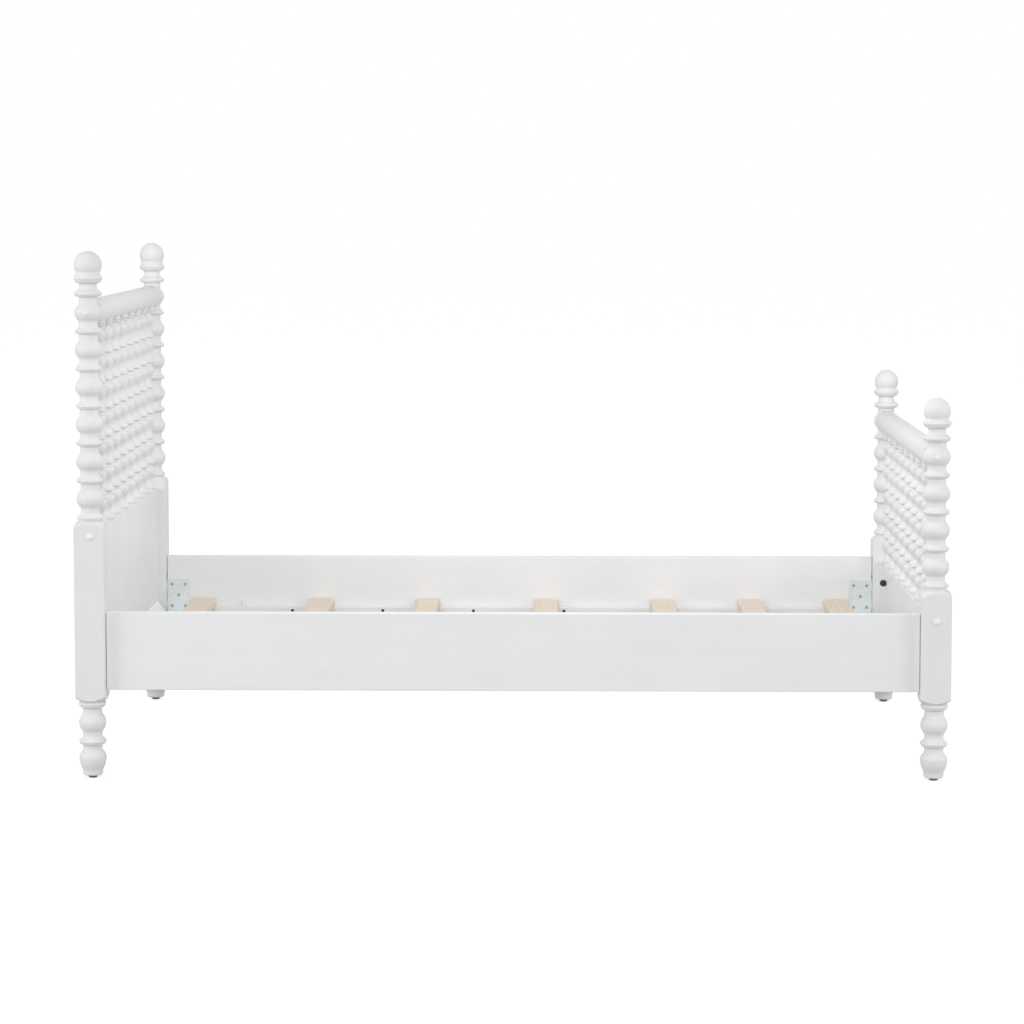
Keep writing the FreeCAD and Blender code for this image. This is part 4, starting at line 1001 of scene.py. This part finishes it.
@dataclass
class SideRail:
    """One side rail with the cleat that carries the slats and the screws that hold the cleat."""

    side: Side
    screws: int = 8
    screw_pitch: float = 0.24414
    screw_across: float = 0.4805
    screw_level: float = 0.2485
    seed: int = 3
    screw: WoodScrew = field(default_factory=lambda: WoodScrew(length=0.037))

    def build(self) -> None:
        """Drives the screws and dresses rail and cleat."""
        name = self.side.name.lower()
        dress(f"side_rail_{name}", LIT_LENGTH_PAINT)
        dress(f"slat_cleat_{name}", LIT_LENGTH_PAINT)
        middle = (self.screws - 1) / 2
        marks = Start("cleat_marks", [((number - middle) * self.screw_pitch,
                                       self.side.value * self.screw_across, self.screw_level)
                                      for number in range(self.screws)],
                      [(0.0, -float(self.side.value), 0.0)] * self.screws).build()
        screw = self.screw.build()
        driven = grow(f"cleat_wood_screws_{name}", "set screws", marks, {
            "Screw": screw, "Seed": self.seed + self.side.value, "Finish": BLACK_SCREW.material()})
        remove(screw)
        settle(driven, "frame", "dark_steel", f"cleat_screws_{name}")


@dataclass
class HookPlates:
    """The plates that hook the side rails into the posts, their keepers and all their screws."""

    along: float = 0.9205
    across: float = 0.5025
    level: float = 0.287
    span: float = 0.035
    rise: float = 0.059
    seed: int = 11
    screw: WoodScrew = field(default_factory=WoodScrew)

    def marks(self) -> Start:
        """Four corners and the middle of each plate, each facing the middle of the bed."""
        points, facings = [], []
        for end in End:
            for side in Side:
                spots = [(0.0, 0.0)] + [(x, z) for x in (-0.5, 0.5) for z in (-0.5, 0.5)]
                for x, z in spots:
                    points.append((end.value * self.along + x * self.span, side.value * self.across,
                                   self.level + z * self.rise))
                    facings.append((0.0, -float(side.value), 0.0))
        return Start("plate_marks", points, facings)

    def build(self) -> None:
        """Drives the plates' screws and dresses plates, keepers and hidden screws."""
        for end in End:
            for side in Side:
                corner = f"{end.name}_{side.name}".lower()
                dress(f"hook_plate_{corner}", ZINC)
                dress(f"keeper_{corner}", ZINC)
        dress("keeper_screws", ZINC_SCREW)
        screw = self.screw.build()
        driven = grow("hook_plate_wood_screws", "set screws", self.marks().build(), {
            "Screw": screw, "Seed": self.seed, "Finish": ZINC_SCREW.material()})
        remove(screw)
        settle(driven, "frame", "plated_steel", "hook_plate_screws")


@dataclass
class Slats:
    """The loose pine slats that lie on the cleats."""

    places: tuple[float, ...] = (-0.8510, -0.5303, -0.2451, 0.0747, 0.3867, 0.6209, 0.8510)
    length: float = 1.005
    width: float = 0.063
    thickness: float = 0.020
    underside: float = 0.2585
    edge: float = 0.002
    pith_sway: Point = (0.031, 2.3)
    pith_step: float = 1.37
    pith_depth: float = 0.034
    pith_dip: Point = (0.021, 1.9)

    def pith(self, number: int) -> Place:
        """Where a slat lies from the pith of the tree that it is cut from, so that each differs."""
        sway, turn = self.pith_sway
        dip, roll = self.pith_dip
        return (sway * math.sin(turn * number), self.pith_step * number,
                -self.pith_depth - dip * math.cos(roll * number))

    def build(self) -> None:
        """Grows each slat with its own figure, on its own body."""
        for number, along in enumerate(self.places, 1):
            start = Start("slat_start", [(0.0, 0.0, 0.0)]).build()
            slat = grow(f"slat_board_{number}", "sawn board", start, {
                "Length": self.length, "Width": self.width, "Thickness": self.thickness,
                "Edge": self.edge, "Middle": (along, 0.0, self.underside + self.thickness / 2),
                "Cut from": self.pith(number), "Finish": PINE.material()})
            settle(slat, f"slat_{number}", "bare_wood", f"slat_{number}")


@dataclass
class SmallParts:
    """What is left: batten, pegs, buffers, bolts with their nuts and caps, glides and inserts."""

    finishes: dict[str, Finish] = field(default_factory=lambda: {
        "head_batten": HIGHLIT_BATTEN_PAINT, "cleat_pegs": SHADED_UPRIGHT_PAINT, "panel_buffers": RUBBER,
        "bolt_caps": CAP_PLASTIC, "frame_bolts": ZINC, "barrel_nuts": ZINC, "glide_inserts": ZINC})

    def build(self) -> None:
        """Dresses each part, and the four glides."""
        for node, finish in self.finishes.items():
            dress(node, finish)
        for end in End:
            for side in Side:
                dress(f"glide_{end.name}_{side.name}".lower(), GLIDE_PLASTIC)


# ---------------------------------------------------------------- studio


@dataclass(frozen=True)
class Lamp:
    """A soft oblong lamp that points at a target; its power is in watts."""

    name: str
    place: Place
    power: float
    target: Place = (0.0, 0.0, 0.5)
    size: Point = (3.0, 3.0)

    def hang(self) -> None:
        """Makes the lamp and turns it to its target."""
        data = bpy.data.lights.new(self.name, "AREA")
        data.shape = "RECTANGLE"
        data.size, data.size_y = self.size
        data.energy = self.power
        lamp = bpy.data.objects.new(self.name, data)
        lamp.location = self.place
        way = Vector(self.target) - Vector(self.place)
        lamp.rotation_euler = way.to_track_quat("-Z", "Y").to_euler()
        lamp.visible_camera = False
        bpy.context.scene.collection.objects.link(lamp)


@dataclass
class Studio:
    """The pale floor, the soft lights and the camera."""

    picture_pixels: float = 1024.0
    focal_pixels: float = 2840.0
    sensor_mm: float = 36.0
    horizon_row: float = 400.0
    eye: Place = (0.114, -7.11, 1.375)
    pitch: float = math.radians(4.19)
    yaw: float = 0.01737
    surround: float = 0.60
    floor_reach: float = 30.0
    floor_tone: float = 0.5
    floor_glow: float = 0.70
    floor_roughness: float = 0.9
    view_reach: float = 60.0
    lamps: tuple[Lamp, ...] = (
        Lamp("left", (-6.0, -3.0, 2.2), 130.0),
        Lamp("right", (6.0, -3.0, 2.2), 118.0),
        Lamp("front", (-0.6, -6.5, 3.2), 103.0),
        Lamp("inside", (0.08, -0.45, 1.35), 5.0, (0.08, 0.5, 0.33), (1.3, 0.5)))

    def camera(self) -> None:
        """Sets up the camera at the photograph's viewing angle."""
        data = bpy.data.cameras.new("camera")
        data.sensor_width = self.sensor_mm
        data.lens = self.focal_pixels / self.picture_pixels * self.sensor_mm
        data.shift_y = (self.horizon_row - self.picture_pixels / 2) / self.picture_pixels
        data.clip_end = self.view_reach
        camera = bpy.data.objects.new("camera", data)
        camera.location = self.eye
        way = Vector((-math.sin(self.yaw) * math.cos(self.pitch),
                      math.cos(self.yaw) * math.cos(self.pitch), -math.sin(self.pitch)))
        camera.rotation_euler = way.to_track_quat("-Z", "Y").to_euler()
        bpy.context.scene.collection.objects.link(camera)
        bpy.context.scene.camera = camera

    def seen(self, wire: Wiring) -> bpy.types.NodeSocket:
        """1 for the rays of the camera, of gloss and of glass, and 0 for light itself."""
        path = wire.node("ShaderNodeLightPath")
        direct = wire.maths("MAXIMUM", path.outputs["Is Camera Ray"], path.outputs["Is Glossy Ray"])
        return wire.maths("MAXIMUM", direct, path.outputs["Is Transmission Ray"])

    def world(self) -> None:
        """A white surround, full white where the camera and the gloss see it."""
        world = bpy.data.worlds.new("surround")
        world.use_nodes = True
        wire = Wiring(world.node_tree)
        background = world.node_tree.nodes["Background"]
        background.inputs["Color"].default_value = (1.0, 1.0, 1.0, 1.0)
        strength = wire.remap(self.seen(wire), 0.0, 1.0, self.surround, 1.0)
        wire.join(strength, background.inputs["Strength"])
        bpy.context.scene.world = world

    def floor(self) -> None:
        """A wide pale floor that keeps a faint shadow under the bed."""
        reach = self.floor_reach
        mesh = bpy.data.meshes.new("floor")
        mesh.from_pydata([(-reach, -reach, 0.0), (reach, -reach, 0.0), (reach, reach, 0.0),
                          (-reach, reach, 0.0)], [], [(0, 1, 2, 3)])
        floor = bpy.data.objects.new("floor", mesh)
        bpy.context.scene.collection.objects.link(floor)
        material = bpy.data.materials.new("floor")
        material.use_nodes = True
        wire = Wiring(material.node_tree)
        shader = material.node_tree.nodes["Principled BSDF"]
        shader.inputs["Base Color"].default_value = (self.floor_tone,) * 3 + (1.0,)
        shader.inputs["Roughness"].default_value = self.floor_roughness
        shader.inputs["Specular IOR Level"].default_value = 0.0
        shader.inputs["Emission Color"].default_value = (1.0, 1.0, 1.0, 1.0)
        glow = wire.maths("MULTIPLY", self.seen(wire), self.floor_glow)
        wire.join(glow, shader.inputs["Emission Strength"])
        mesh.materials.append(material)

    def build(self) -> None:
        """Sets up the whole studio."""
        bpy.context.scene.view_settings.view_transform = "Standard"
        self.camera()
        self.world()
        self.floor()
        for lamp in self.lamps:
            lamp.hang()


def main() -> None:
    """Builds and dresses every sub-assembly and sets up the studio."""
    logging.basicConfig(level=logging.INFO, format="%(name)s: %(message)s")
    Studio().build()
    EndBoard(End.HEAD, Spindles(End.HEAD, seat=0.580, top=1.0753, disc=0.017, beads=7)).build()
    EndBoard(End.FOOT, Spindles(End.FOOT, seat=0.386, top=0.741, disc=0.022, beads=5)).build()
    for side in Side:
        SideRail(side).build()
    HookPlates().build()
    Slats().build()
    SmallParts().build()


if __name__ == "__main__":
    main()
